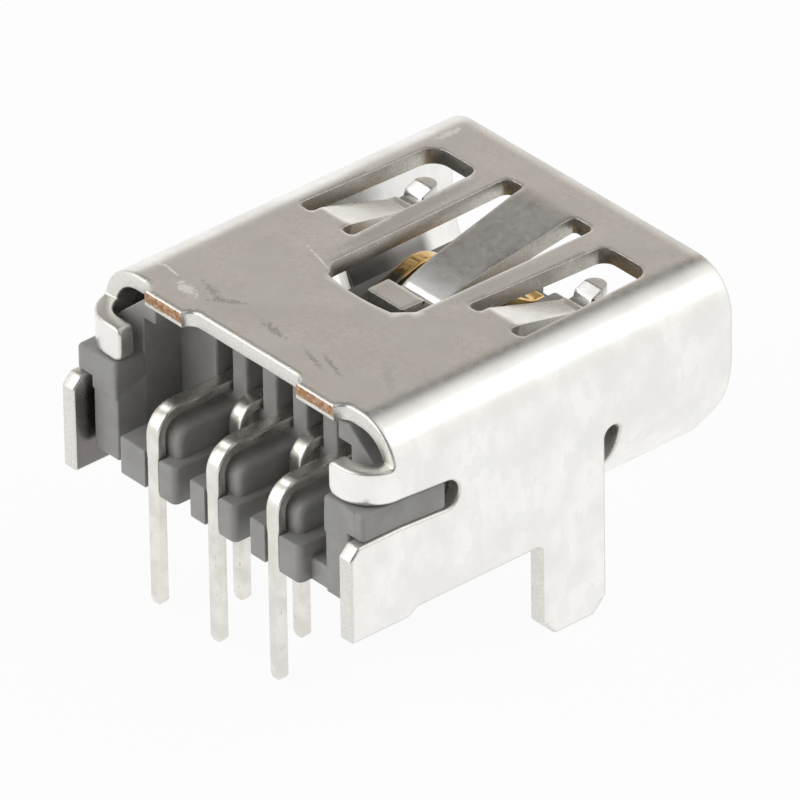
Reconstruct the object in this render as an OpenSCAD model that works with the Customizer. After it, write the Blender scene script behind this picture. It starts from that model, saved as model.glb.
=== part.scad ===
// Mini USB type B socket for through-hole mounting, lying flat with its mouth along the board.
// X runs across the socket, Y from the mouth (negative) to the tails (positive) and Z up from the board.
// The origin lies on the board, on the centre line, midway along the two solder legs of the shell.

/* [Shell] */
// Width over the side plates
shell_w = 7.7; // [7.6:0.05:7.8]
// Height of the roof over the board
shell_h = 3.87; // [3.8:0.01:3.95]
// Thickness of the folded sheet
sheet_t = 0.32; // [0.28:0.01:0.34]
// Distance of the mouth in front of the origin
mouth_y = 3.7; // [3.4:0.05:4]
// Distance of the roof's rear edge behind the origin
roof_y = 4.03; // [3.95:0.01:4.1]
// Outer radius of the two upper bends
upper_bend_r = 0.87; // [0.8:0.01:0.9]
// Height at which the mouth's flanks start to curve in
flank_z = 2.18; // [2.1:0.01:2.25]
// Outer radius of the mouth's flanks
flank_r = 2.2; // [2.1:0.05:2.3]
// Angle that each flank turns through before it runs straight
flank_angle = 39; // [36:1:42]

/* [Legs and tabs] */
// Width of each solder leg along the socket
leg_w = 1.48; // [1.3:0.02:1.6]
// Depth of the solder legs under the board's top
leg_depth = 1.79; // [1.5:0.01:2.4]
// Distance of the rear tabs' ends behind the origin
tab_y = 5.056; // [5:0.01:5.2]
// Height of the rear tabs
tab_h = 1.89; // [1.8:0.01:1.92]

/* [Roof springs] */
// Half the width of the centre window
centre_window_x = 1.13; // [1.1:0.01:1.2]
// How far the centre spring's valley lies under the roof
centre_dip = 0.69; // [0.6:0.01:0.75]
// How far the side springs' tips lie under the roof
side_tip_dip = 0.25; // [0.2:0.01:0.3]

/* [Contacts] */
// Distance between neighbouring contacts
pitch = 0.8; // [0.78:0.01:0.82]
// Width of a contact
contact_w = 0.32; // [0.28:0.01:0.34]
// Thickness of the contact strip
contact_t = 0.2; // [0.18:0.01:0.22]
// Distance of the rear row's tails behind the origin, to their rear faces
rear_row_y = 4.91; // [4.86:0.01:4.95]
// Distance between the two rows of tails
row_gap = 1.2; // [1.15:0.01:1.25]
// Depth of the rear row's tips under the board's top
tail_depth = 1.86; // [1.6:0.01:2.4]

/* [Housing] */
// Distance of the rear wall behind the origin
wall_y = 3.25; // [3.2:0.01:3.3]
// Distance of the cavity's end wall behind the origin
cavity_y = 1.9; // [1.7:0.05:2.1]
// Gap between the housing and the shell
play = 0.02; // [0.01:0.01:0.04]

/* [Hidden] */
$fn = 48;
eps = 0.01;
far = 20;
half_w = shell_w / 2;
inner_x = half_w - sheet_t;
roof_under = shell_h - sheet_t;
bend_x = half_w - upper_bend_r;
bend_z = shell_h - upper_bend_r;

// Mouth section: centres of the flank's arc and of the foot's bend
foot_r = 0.5;
flank_x = half_w - flank_r;
foot_run = (flank_z + (foot_r - flank_r) * sin(flank_angle) - foot_r) / cos(flank_angle);
foot_x = flank_x + (flank_r - foot_r) * cos(flank_angle) - foot_run * sin(flank_angle);
seam_w = 0.05;

// Side plate: the relief behind the mouth, the slot under the hook and the low edge
wrap_y = -1.12;
relief_top = 1.89;
low_edge = 0.13;
leg_chamfer = 0.3;
hook_low = 2.44;
hook_high = 3.12;
hook_start_y = 3.91;
hook_r = 0.75;
hook_tips = [2.70, 2.82];
slot_r = 0.28;
slot_y = 2.87;
slot_z = 2.10;

// Roof: the windows' small offset, their rear edges, and the necks of the side springs
roof_shift = -0.06;
centre_rear_y = 1.62;
centre_root_y = -2.6;
side_rear_y = 0.42;
side_root_y = 0.18;
neck_x = [1.81, 2.63];
side_window_rear_x = [1.525, 2.955];
side_window_front_x = [1.67, 2.84];
side_window_front_y = -2.64;
side_tip_x = [1.86, 2.58];
side_tip_y = [-1.84, -2.56];
side_tip_drop = 0.12;
side_hole_r = 0.24;
side_hole = [2.25, -1.92];
slot_x = 0.6;
slot_front_end_y = -2.86;

// Centre spring: half its width at the root, at the valley and at its end, and where these lie
spring_half = [0.67, 0.48, 0.47];
spring_root_y = -2.75;
valley_y = 0.13;
crest_y = 0.50;
spring_end_y = 0.87;

// Stubs left on the roof's rear edge where the strip was cut off
stub_x = [1.52, 2.50];
stub_len = 0.21;
stub_fillet = 0.24;

// Contacts: the run to the rear and the spring in the mouth
run_top = 2.10;
rear_bend_r = 0.55;
front_bend_r = 0.45;
tail_w = contact_w - 0.03;
spring_top = 2.75;

// Housing: side walls, posts under the hooks and the comb between the tails
side_wall_x = 2.75;
side_wall_y = 4.13;
post_y = 4.74;
post_head_z = 1.85;
post_foot = [3.42, 4.69];
edge_x = inner_x - play;
corner_cut = [0.79, 0.67];
lug_x = 2.42;
lug_z = 3.12;
tongue_x = 2.3;
tongue_y = -2.9;
tongue_z = 1.28;
groove_w = contact_w + 0.06;
slot_w = 0.4;
slot_front_y = 2.35;
comb_z = 0.43;
comb_top = 1.2;
comb_x = [-2.33, 2.476];
lump_top = 1.76;
lump_half = 0.45;
lump_y = 4.66;
ledge_x = -2.31;
ledge_h = 0.47;

// Unit vector of a 2D vector
function unit(v) = v / norm(v);

// Points of an arc about c, from angle a0 to a1
function arc(c, r, a0, a1, n = 10) =
    [for (i = [0:n]) let (a = a0 + (a1 - a0) * i / n) c + r * [cos(a), sin(a)]];

// Angle a brought into -180..180
function wrap180(a) = a > 180 ? a - 360 : a < -180 ? a + 360 : a;

// Corner p, between the points before and after it, rounded with radius r
function corner(before, p, after, r, n) =
    r <= 0 ? [p] :
    let (u = unit(before - p), v = unit(after - p), h = acos(u * v) / 2)
    let (c = p + unit(u + v) * r / sin(h), l = r / tan(h))
    let (s = p + u * l - c, e = p + v * l - c)
    let (a0 = atan2(s[1], s[0]), turn = wrap180(atan2(e[1], e[0]) - a0))
    [for (i = [0:n]) c + r * [cos(a0 + turn * i / n), sin(a0 + turn * i / n)]];

// Closed outline with corner radii: each entry is [x, y, radius]
function rounded(q, n = 8) =
    let (m = len(q), p = [for (i = q) [i[0], i[1]]])
    [for (i = [0:m - 1]) each corner(p[(i + m - 1) % m], p[i], p[(i + 1) % m], q[i][2], n)];

// Open path with corner radii
function soft_path(q, n = 8) =
    let (m = len(q), p = [for (i = q) [i[0], i[1]]])
    [for (i = [0:m - 1]) each (i == 0 || i == m - 1 ? [p[i]] : corner(p[i - 1], p[i], p[i + 1], q[i][2], n))];

// Path moved to its right by t
function beside(p, t) =
    let (m = len(p), d = [for (i = [0:m - 2]) unit(p[i + 1] - p[i])])
    [for (i = [0:m - 1])
        let (a = d[max(i - 1, 0)], b = d[min(i, m - 2)], k = unit(a + b))
        p[i] + [k[1], -k[0]] * t / (k * b)];

// Points in reverse order
function back_to_front(p) = [for (i = [len(p) - 1:-1:0]) p[i]];

// Strip of thickness t on the right of a path
function strip(p, t) = concat(p, back_to_front(beside(p, t)));

// Points mirrored in the centre line
function mirrored(p) = [for (i = back_to_front(p)) [-i[0], i[1]]];

// Mouth outline moved in by d, from the roof down the flank to the bottom
function mouth_half(d) = concat(
    arc([bend_x, bend_z], upper_bend_r - d, 90, 0),
    arc([flank_x, flank_z], flank_r - d, 0, -flank_angle, 12),
    arc([foot_x, foot_r], foot_r - d, -flank_angle, -90));

function mouth_outline(d) = concat(mouth_half(d), mirrored(mouth_half(d)));

// Shapes in X and Z drawn out from y0 to y1
module along_y(y0, y1) {
    translate([0, y1, 0]) rotate([90, 0, 0]) linear_extrude(y1 - y0) children();
}

// Shapes in Y and Z drawn out from x0 to x1
module along_x(x0, x1) {
    translate([x0, 0, 0]) rotate([90, 0, 90]) linear_extrude(x1 - x0) children();
}

module both_sides() {
    children();
    mirror([1, 0, 0]) children();
}

// Roof, upper bends and side plates, down past the legs
module arch_section() {
    outer = arc([bend_x, bend_z], upper_bend_r, 90, 0);
    inner = arc([bend_x, bend_z], upper_bend_r - sheet_t, 90, 0);
    foot = -leg_depth - 1;
    difference() {
        polygon(concat([[-half_w, foot]], mirrored(outer), outer, [[half_w, foot]]));
        polygon(concat([[-inner_x, foot - 1]], mirrored(inner), inner, [[inner_x, foot - 1]]));
    }
}

// Side view of the shell, from the mouth to the rear tab
module side_outline() {
    leg_y = leg_w / 2;
    relief_r = (-leg_y - wrap_y) / 2;
    polygon(concat(
        [[-mouth_y, shell_h + 1], [roof_y, shell_h + 1], [roof_y, hook_high], [hook_start_y, hook_high],
         [hook_start_y, hook_low + 0.02]],
        arc([slot_y, slot_z], slot_r, 92, 268, 12),
        [[hook_start_y, tab_h], [tab_y - 0.2, tab_h], [tab_y, tab_h - 0.2], [tab_y, 0],
         [tab_y - 1.3, 0], [tab_y - 1.5, low_edge]],
        rounded([[leg_y + 0.5, low_edge, 0], [leg_y, low_edge, 0.12], [leg_y, -leg_depth + leg_chamfer, 0]]),
        [[leg_y - leg_chamfer, -leg_depth], [leg_chamfer - leg_y, -leg_depth],
         [-leg_y, leg_chamfer - leg_depth]],
        arc([wrap_y + relief_r, relief_top - relief_r], relief_r, 0, 180, 12),
        [[wrap_y, flank_z], [-mouth_y, flank_z]]));
}

// Lower half of the mouth, folded in until the two edges meet
module mouth_wrap() {
    along_y(-mouth_y, wrap_y) difference() {
        polygon(mouth_outline(0));
        polygon(mouth_outline(sheet_t));
        translate([-far / 2, flank_z + eps]) square([far, far]);
        translate([-seam_w / 2, -1]) square([seam_w, 2]);
    }
}

// Strip of the side plate that turns in behind the housing and holds it
module hook(tip_x) {
    turn_x = half_w - hook_r;
    path = concat([[half_w, hook_start_y - 0.5]], arc([turn_x, hook_start_y], hook_r, 0, 90),
                  [[tip_x, hook_start_y + hook_r]]);
    round_end = [[tip_x, hook_low, 0.14], [tip_x, hook_high, 0.14], [far, hook_high, 0], [far, hook_low, 0]];
    intersection() {
        translate([0, 0, hook_low]) linear_extrude(hook_high - hook_low)
            polygon(concat(path, back_to_front(beside(path, -sheet_t))));
        along_y(0, far) polygon(rounded(round_end));
    }
}

// Stub on the roof's rear edge, with a fillet at each side
module stub_outline() {
    x0 = stub_x[0] - stub_fillet;
    x1 = stub_x[1] + stub_fillet;
    difference() {
        translate([x0, roof_y - eps]) square([x1 - x0, stub_len + eps]);
        for (x = [x0, x1]) {
            translate([x, roof_y + stub_fillet]) circle(stub_fillet);
            translate([x - stub_fillet, roof_y + stub_fillet]) square([2 * stub_fillet, 1]);
        }
    }
}

// Window in the roof round a side spring, with the spring's neck left on its rear edge
module side_window() {
    difference() {
        polygon(rounded([[side_window_rear_x[0], side_rear_y, 0.1],
                         [side_window_rear_x[1], side_rear_y, 0.12],
                         [side_window_front_x[1], side_window_front_y, 0.34],
                         [side_window_front_x[0], side_window_front_y, 0.25]]));
        translate([neck_x[0], side_root_y]) square([neck_x[1] - neck_x[0], 1]);
    }
}

// Side spring: it slopes down from its root, dips, and steps up to a wider tip with a half-round hole
module side_spring() {
    tip = shell_h - side_tip_dip;
    pit = tip - 0.25;
    profile = soft_path([[0.6, shell_h, 0], [0.2, shell_h, 0.5], [-1.22, pit + 0.07, 0.3], [-1.5, pit, 0.12],
                         [side_tip_y[0], tip, 0.4], [side_tip_y[1], tip - side_tip_drop, 0]], 5);
    outline = rounded([[neck_x[0], 0.6, 0], [neck_x[1], 0.6, 0], [side_tip_x[1] - 0.04, -1.3, 0],
                       [side_tip_x[1], side_tip_y[1], 0.3], [side_tip_x[0], side_tip_y[1], 0.25],
                       [side_tip_x[0] + 0.04, -1.3, 0]], 5);
    difference() {
        union() {
            intersection() {
                along_x(1.5, 3) polygon(strip(profile, -sheet_t));
                linear_extrude(far) polygon(outline);
            }
            translate([1.84, -2.2, tip - 0.3]) cube([0.16, 0.78, 0.22]);
        }
        translate(side_hole) linear_extrude(far) difference() {
            circle(side_hole_r);
            translate([-1, 0]) square(2);
        }
    }
}

// Window in the roof round the centre spring, with a bowed rear edge and a slot at each side of the root
module centre_window() {
    bow_r = 4.4;
    bow_a = asin((centre_window_x - 0.3) / bow_r);
    side = [[centre_window_x - 0.03, centre_rear_y - 0.4], [centre_window_x + 0.02, centre_root_y]];
    polygon(concat(arc([0, centre_rear_y - bow_r], bow_r, 90 + bow_a, 90 - bow_a, 8),
                   side, mirrored(side)));
    both_sides() polygon(rounded([[slot_x, centre_root_y + 1, 0], [centre_window_x, centre_root_y + 1, 0],
                                  [centre_window_x + 0.02, slot_front_end_y, 0.18],
                                  [slot_x, slot_front_end_y, 0.1]]));
}

// Centre spring: it runs back from its root near the mouth, dips, and turns up at its end
module centre_spring() {
    valley = shell_h - centre_dip;
    profile = soft_path([[-3, shell_h, 0], [spring_root_y, shell_h, 2], [-0.62, shell_h - 0.36, 3.2],
                         [valley_y, valley, 0.12], [crest_y, shell_h - 0.38, 0.45],
                         [spring_end_y, shell_h - 0.46, 0]], 6);
    half = [[spring_half[0], -3, 0], [spring_half[0], spring_root_y, 0], [spring_half[1], 0.2, 0],
            [spring_half[2], spring_end_y, 0.06]];
    other = [for (i = [3:-1:0]) [-half[i][0], half[i][1], half[i][2]]];
    intersection() {
        along_x(-2, 2) polygon(strip(profile, sheet_t));
        linear_extrude(far) polygon(rounded(concat(half, other)));
    }
}

module shell() {
    color("silver") union() {
        difference() {
            union() {
                intersection() {
                    along_y(-mouth_y, tab_y) arch_section();
                    along_x(-half_w, half_w) side_outline();
                }
                both_sides() translate([0, 0, roof_under]) linear_extrude(sheet_t) stub_outline();
            }
            translate([roof_shift, 0, roof_under - 0.5]) linear_extrude(2) {
                both_sides() side_window();
                centre_window();
            }
        }
        mouth_wrap();
        hook(hook_tips[0]);
        mirror([1, 0, 0]) hook(hook_tips[1]);
        translate([roof_shift, 0, 0]) both_sides() side_spring();
        centre_spring();
    }
}

// Side view of a contact: tail, bend, run to the front and sprung end
module contact_profile(y, r, depth) {
    path = soft_path([[y, -depth, 0], [y, run_top, r], [0.7, run_top, 1.5], [-1.35, spring_top, 0.7],
                      [-2.35, run_top + 0.02, 0.3], [-2.62, run_top + 0.02, 0]]);
    polygon(concat(path, back_to_front(beside(path, -contact_t))));
}

// Contact n of five, counted from the right as seen from behind
module contact(n) {
    rear = n % 2 == 1;
    y = rear ? rear_row_y : rear_row_y - row_gap;
    depth = rear ? tail_depth : tail_depth + 0.05;
    tail = tail_w / 2;
    half = contact_w / 2;
    color("gold") translate([(n - 3) * pitch, 0, 0]) intersection() {
        along_x(-half, half) contact_profile(y, rear ? rear_bend_r : front_bend_r, depth);
        along_y(-far, far) polygon([[-half, 5], [half, 5], [half, comb_top], [tail, comb_top - 0.1],
                                    [tail, 0.1 - depth], [tail - 0.08, -depth], [0.08 - tail, -depth],
                                    [-tail, 0.1 - depth], [-tail, comb_top - 0.1], [-half, comb_top]]);
    }
}

module contact_1() { contact(1); }
module contact_2() { contact(2); }
module contact_3() { contact(3); }
module contact_4() { contact(4); }
module contact_5() { contact(5); }

// Block that fills the shell behind the cavity
module core_section() {
    z = roof_under - play;
    half = [[edge_x, low_edge], [edge_x, z - corner_cut[1]], [edge_x - corner_cut[0], z]];
    polygon(concat(half, mirrored(half)));
}

// Floor of the cavity behind the shell's wrap, shaped as the plug
module trough_section() {
    difference() {
        translate([-edge_x, 0]) square([2 * edge_x, 1.2]);
        polygon(mouth_outline(sheet_t - 0.03));
    }
}

// Tongue that carries the contacts into the mouth
module tongue() {
    top = run_top + 0.04;
    along_x(-tongue_x, tongue_x) polygon(rounded([[tongue_y, tongue_z, 0.15], [tongue_y, top, 0.15],
                                                  [cavity_y + 0.5, top, 0], [cavity_y + 0.5, tongue_z, 0]]));
}

// Side wall and upper lug behind the rear wall, with its corner cut away inside the hook's bend
module side_wall() {
    front = wall_y - 0.5;
    intersection() {
        along_y(front, side_wall_y) core_section();
        linear_extrude(far) polygon([[0, front], [edge_x, front], [edge_x, side_wall_y - 0.16],
                                     [edge_x - 0.12, side_wall_y], [0, side_wall_y]]);
        along_y(0, far) {
            translate([side_wall_x, 0]) square([2, far]);
            translate([lug_x, lug_z]) square([2, far]);
        }
    }
}

// Post under the hook: a head as wide as the side wall, and a foot that is set in beside the tab
module post() {
    front = side_wall_y - 0.5;
    head_h = hook_low - 0.02 - post_head_z;
    head = [[side_wall_x, front, 0], [side_wall_x, post_y, 0.05], [edge_x, post_y, 0.12], [edge_x, front, 0]];
    translate([0, 0, post_head_z]) linear_extrude(head_h) polygon(rounded(head));
    translate([side_wall_x, front, comb_z])
        cube([post_foot[0] - side_wall_x, post_foot[1] - front, post_head_z + 0.1 - comb_z]);
}

// Low ledge between the comb and the right post
module ledge() {
    x0 = -side_wall_x - 0.1;
    translate([x0, wall_y - 0.1, comb_z]) cube([ledge_x - x0, post_foot[1] - wall_y + 0.1, ledge_h]);
}

// Block round one rear tail, with a notch that the tail lies in
module comb_block(x0, x1, tail_x) {
    difference() {
        translate([x0, wall_y - 0.5, comb_z])
            cube([x1 - x0, rear_row_y + eps - wall_y + 0.5, comb_top - comb_z]);
        translate([tail_x - groove_w / 2, rear_row_y - contact_t - 0.03, 0]) cube([groove_w, 1, 3]);
    }
}

// Rounded lump that lies in a rear contact's bend
module lump(x) {
    side = [[wall_y - 0.3, comb_top - 0.1, 0], [lump_y, comb_top - 0.1, 0], [lump_y, lump_top, 0.3],
            [wall_y - 0.3, lump_top, 0]];
    front = [[x - lump_half, 0, 0], [x - lump_half, lump_top, 0.18], [x + lump_half, lump_top, 0.18],
             [x + lump_half, 0, 0]];
    intersection() {
        along_x(x - 1, x + 1) polygon(rounded(side));
        along_y(0, far) polygon(rounded(front));
    }
}

module housing() {
    gap = pitch - 0.19;
    groove_z = run_top - contact_t - 0.02;
    color("dimgray") difference() {
        union() {
            along_y(cavity_y, wall_y) core_section();
            along_y(-0.7, cavity_y + eps) trough_section();
            tongue();
            side_wall();
            mirror([1, 0, 0]) side_wall();
            post();
            mirror([1, 0, 0]) post();
            ledge();
            comb_block(2 * pitch - gap, comb_x[1], 2 * pitch);
            comb_block(-gap, gap, 0);
            comb_block(comb_x[0], gap - 2 * pitch, -2 * pitch);
            for (i = [-2, 0, 2]) lump(i * pitch);
        }
        // Slots that open the rear wall over the contacts, and grooves along the tongue
        for (i = [-2:2]) {
            translate([i * pitch - slot_w / 2, slot_front_y, groove_z]) cube([slot_w, far, far]);
            translate([i * pitch - groove_w / 2, tongue_y - 1, groove_z])
                cube([groove_w, slot_front_y - tongue_y + 1.5, 0.26]);
        }
    }
}

shell();
housing();
contact_1();
contact_2();
contact_3();
contact_4();
contact_5();
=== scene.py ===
"""Looks of a through-hole mini USB socket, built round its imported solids.

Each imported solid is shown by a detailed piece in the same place. A piece is made of plates: flat outlines
with rounded rims, which are folded as the real sheet and strips are, or stand as the blocks of the moulding.
Outlines, paths, the pieces' own sizes and every value that ends in _mm are in millimetres. Meshes, lamps and
the camera are in metres. Angles are in degrees.
"""

import logging
import math
from collections.abc import Callable, Sequence
from dataclasses import dataclass, field
from enum import Enum, IntEnum

import bmesh
import bpy
import numpy as np
from mathutils import Matrix, Vector
from mathutils.geometry import delaunay_2d_cdt


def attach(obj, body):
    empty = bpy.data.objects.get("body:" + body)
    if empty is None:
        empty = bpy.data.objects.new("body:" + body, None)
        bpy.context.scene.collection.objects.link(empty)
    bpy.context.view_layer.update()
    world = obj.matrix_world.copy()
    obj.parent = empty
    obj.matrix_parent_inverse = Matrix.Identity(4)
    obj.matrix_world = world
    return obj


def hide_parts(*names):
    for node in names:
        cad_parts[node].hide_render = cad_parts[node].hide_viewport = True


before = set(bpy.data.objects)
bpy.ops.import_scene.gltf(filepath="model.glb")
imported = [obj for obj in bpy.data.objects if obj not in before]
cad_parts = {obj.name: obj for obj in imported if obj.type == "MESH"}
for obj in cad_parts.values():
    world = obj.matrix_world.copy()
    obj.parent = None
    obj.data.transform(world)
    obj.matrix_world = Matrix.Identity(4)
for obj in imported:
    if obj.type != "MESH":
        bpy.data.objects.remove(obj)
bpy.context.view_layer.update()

LOG = logging.getLogger("socket")
MM = 0.001
ROOT_BODY = "root"
CONTACTS = 5
PITCH_MM = 0.8
TINY = 1e-6
SAME_POINT_MM = 1e-4
FILL_GAP_MM = 1e-5
NOISE_MIDDLE = 0.5
CLOUD_SPAN = (0.32, 0.68)
FINE_SPAN = (0.3, 0.7)
FINE_SIZE = 0.16
WAVE_SIZE_MM = 1.3
GRAIN_SIZE_MM = 0.045
STREAK_GRAIN_MM = 0.09
STREAK_DEPTH_MM = 0.25
STREAK_EDGE = (1.2, 0.5)
SHARP_ANGLE = 55.0
STRAIGHT_HALF_ANGLE = 89.0

Colour = tuple[float, float, float]
Place = tuple[float, float, float]
Point = tuple[float, float]
Corner = tuple[float, float, float]
Fold = Callable[[float, float, float], Place]
Value = float | Sequence[float] | bpy.types.NodeSocket


class Slot(Enum):
    """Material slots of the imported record."""

    SHELL = "shell"
    HOUSING = "housing"
    CONTACT = "contact"


class Graph:
    """A small typed helper that adds and links nodes in one node tree."""

    def __init__(self, tree: bpy.types.NodeTree) -> None:
        """Works on the given tree.

        Args:
            tree: the node tree that gets the nodes.
        """
        self.tree = tree

    def add(self, kind: str, props: dict | None = None, **inputs: Value) -> bpy.types.Node:
        """Adds a node and fills or links its inputs.

        Args:
            kind: the node's type name.
            props: the node's own settings.
            inputs: values or sockets by input name, with _ for a space.

        Returns:
            The new node.
        """
        node = self.tree.nodes.new(kind)
        for name, value in (props or {}).items():
            setattr(node, name, value)
        for name, value in inputs.items():
            self.feed(node.inputs[name.replace("_", " ")], value)
        return node

    def feed(self, socket: bpy.types.NodeSocket, value: Value) -> None:
        """Sets an input to a value, or links a socket to it.

        Args:
            socket: the input.
            value: a number, a vector, a colour or an output socket.
        """
        if isinstance(value, bpy.types.NodeSocket):
            self.tree.links.new(value, socket)
        elif isinstance(value, (int, float)):
            socket.default_value = float(value)
        else:
            items = [float(v) for v in value]
            if len(socket.default_value) == 4 and len(items) == 3:
                items.append(1.0)
            socket.default_value = items

    def math(self, operation: str, a: Value, b: Value = 0.0, c: Value = 0.0,
             clamp: bool = False) -> bpy.types.NodeSocket:
        """Adds a Math node.

        Args:
            operation: the node's operation.
            a: first value.
            b: second value.
            c: third value, where the operation has one.
            clamp: True to keep the result in 0 to 1.

        Returns:
            The result.
        """
        node = self.tree.nodes.new("ShaderNodeMath")
        node.operation = operation
        node.use_clamp = clamp
        for i, v in enumerate((a, b, c)):
            self.feed(node.inputs[i], v)
        return node.outputs[0]

    def product(self, *factors: Value) -> bpy.types.NodeSocket:
        """Multiplies values, such as masks.

        Args:
            factors: the values, at least two.

        Returns:
            Their product.
        """
        result = factors[0]
        for factor in factors[1:]:
            result = self.math("MULTIPLY", result, factor)
        return result

    def vector_math(self, operation: str, a: Value, b: Value = (0.0, 0.0, 0.0)) -> bpy.types.Node:
        """Adds a Vector Math node.

        Args:
            operation: the node's operation.
            a: first vector.
            b: second vector.

        Returns:
            The node, because some operations give a value and some a vector.
        """
        node = self.tree.nodes.new("ShaderNodeVectorMath")
        node.operation = operation
        self.feed(node.inputs[0], a)
        self.feed(node.inputs[1], b)
        return node

    def mix(self, factor: Value, a: Value, b: Value) -> bpy.types.NodeSocket:
        """Mixes two colours.

        Args:
            factor: share of b.
            a: first colour.
            b: second colour.

        Returns:
            The mixed colour.
        """
        node = self.tree.nodes.new("ShaderNodeMix")
        node.data_type = "RGBA"
        self.feed(node.inputs[0], factor)
        self.feed(node.inputs[6], a)
        self.feed(node.inputs[7], b)
        return node.outputs[2]

    def span(self, value: Value, low: float, high: float, to_low: float = 0.0,
             to_high: float = 1.0) -> bpy.types.NodeSocket:
        """Maps a value from one span to another along an S curve, without going past its ends.

        Args:
            value: what is mapped.
            low: start of the span.
            high: end of the span.
            to_low: result at the start.
            to_high: result at the end.

        Returns:
            The mapped value.
        """
        node = self.tree.nodes.new("ShaderNodeMapRange")
        node.interpolation_type = "SMOOTHSTEP"
        for i, v in enumerate((value, low, high, to_low, to_high)):
            self.feed(node.inputs[i], v)
        return node.outputs[0]

    def noise(self, place: Value, scale_mm: float, detail: float = 2.0,
              rough: float = 0.5) -> bpy.types.NodeSocket:
        """Noise with features of a given size.

        Args:
            place: coordinates in millimetres.
            scale_mm: rough size of a feature.
            detail: levels of finer noise.
            rough: weight of the finer levels.

        Returns:
            A value round 0.5.
        """
        node = self.add("ShaderNodeTexNoise", None, Vector=place, Scale=1.0 / scale_mm, Detail=detail,
                        Roughness=rough)
        return node.outputs[0]

    def parts(self, vector: Value) -> bpy.types.bpy_prop_collection:
        """The parts of a vector, by their names X, Y and Z."""
        return self.add("ShaderNodeSeparateXYZ", None, Vector=vector).outputs

    def place_mm(self) -> bpy.types.NodeSocket:
        """Coordinates on the object, in millimetres."""
        spot = self.tree.nodes.new("ShaderNodeTexCoord").outputs["Object"]
        scaled = self.add("ShaderNodeVectorMath", {"operation": "SCALE"}, Scale=1.0 / MM)
        self.feed(scaled.inputs[0], spot)
        return scaled.outputs[0]


@dataclass(frozen=True)
class Effect:
    """A shader node group that the finishes use more than once."""

    name: str
    inputs: tuple[tuple[str, str, Value], ...]
    outputs: tuple[tuple[str, str], ...]
    build: Callable[[Graph, bpy.types.Node, bpy.types.Node], None]

    def group(self) -> bpy.types.NodeTree:
        """The group's tree, made the first time that it is asked for.

        Returns:
            The node tree.
        """
        tree = bpy.data.node_groups.get(self.name)
        if tree:
            return tree
        tree = bpy.data.node_groups.new(self.name, "ShaderNodeTree")
        for name, kind, value in self.inputs:
            socket = tree.interface.new_socket(name, in_out="INPUT", socket_type=kind)
            socket.default_value = value
        for name, kind in self.outputs:
            tree.interface.new_socket(name, in_out="OUTPUT", socket_type=kind)
        source = tree.nodes.new("NodeGroupInput")
        sink = tree.nodes.new("NodeGroupOutput")
        self.build(Graph(tree), source, sink)
        return tree

    def use(self, graph: Graph, **inputs: Value) -> bpy.types.Node:
        """Places the effect in a material.

        Args:
            graph: the material's graph.
            inputs: values or sockets by input name, with _ for a space.

        Returns:
            The group node.
        """
        node = graph.tree.nodes.new("ShaderNodeGroup")
        node.node_tree = self.group()
        for name, value in inputs.items():
            graph.feed(node.inputs[name.replace("_", " ")], value)
        return node


def _build_mottle(g: Graph, source: bpy.types.Node, sink: bpy.types.Node) -> None:
    """Cloudy variation of a plated or moulded surface, coarse and fine.

    Args:
        g: the group's graph.
        source: the group's input node.
        sink: the group's output node.
    """
    size = source.outputs["Size"]
    sizes = g.add("ShaderNodeCombineXYZ", None, X=size, Y=size, Z=size).outputs[0]
    spread = g.vector_math("DIVIDE", g.place_mm(), sizes).outputs[0]
    cloud = g.noise(spread, 1.0, detail=3.0, rough=0.55)
    fine = g.noise(spread, FINE_SIZE, detail=2.0, rough=0.6)
    g.feed(sink.inputs["Cloud"], g.span(cloud, *CLOUD_SPAN))
    g.feed(sink.inputs["Fine"], g.span(fine, *FINE_SPAN))


def _build_grain(g: Graph, source: bpy.types.Node, sink: bpy.types.Node) -> None:
    """Height of a surface's waves and of its fine grain: both come in millimetres and leave in metres.

    Args:
        g: the group's graph.
        source: the group's input node.
        sink: the group's output node.
    """
    place = g.place_mm()
    wave = g.math("SUBTRACT", g.noise(place, WAVE_SIZE_MM, detail=1.0, rough=0.4), NOISE_MIDDLE)
    grain = g.math("SUBTRACT", g.noise(place, GRAIN_SIZE_MM, detail=3.0, rough=0.65), NOISE_MIDDLE)
    waves = g.product(wave, source.outputs["Waves"])
    both = g.math("MULTIPLY_ADD", grain, source.outputs["Grain"], waves)
    g.feed(sink.inputs["Height"], g.product(both, MM))


def _build_streak_mask(g: Graph, source: bpy.types.Node, sink: bpy.types.Node) -> None:
    """The mask of a streak at one place on the sheet, with a ragged edge, for scuffs and for painted shade.

    Args:
        g: the group's graph.
        source: the group's input node.
        sink: the group's output node.
    """
    place = g.place_mm()
    noise = g.noise(place, STREAK_GRAIN_MM, detail=4.0, rough=0.7)
    shifted = g.vector_math("SUBTRACT", place, source.outputs["Centre"]).outputs[0]
    turned = g.add("ShaderNodeVectorRotate", {"rotation_type": "Z_AXIS"}, Vector=shifted,
                   Angle=source.outputs["Angle"]).outputs[0]
    halves = g.add("ShaderNodeCombineXYZ", None, X=source.outputs["Half length"],
                   Y=source.outputs["Half width"], Z=STREAK_DEPTH_MM).outputs[0]
    scaled = g.vector_math("DIVIDE", turned, halves).outputs[0]
    reach = g.vector_math("LENGTH", scaled).outputs["Value"]
    wear_and_shade = g.math("MULTIPLY_ADD", g.math("SUBTRACT", noise, NOISE_MIDDLE), source.outputs["Ragged"], reach)
    g.feed(sink.inputs["Mask"], g.span(wear_and_shade, *STREAK_EDGE))


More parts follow.
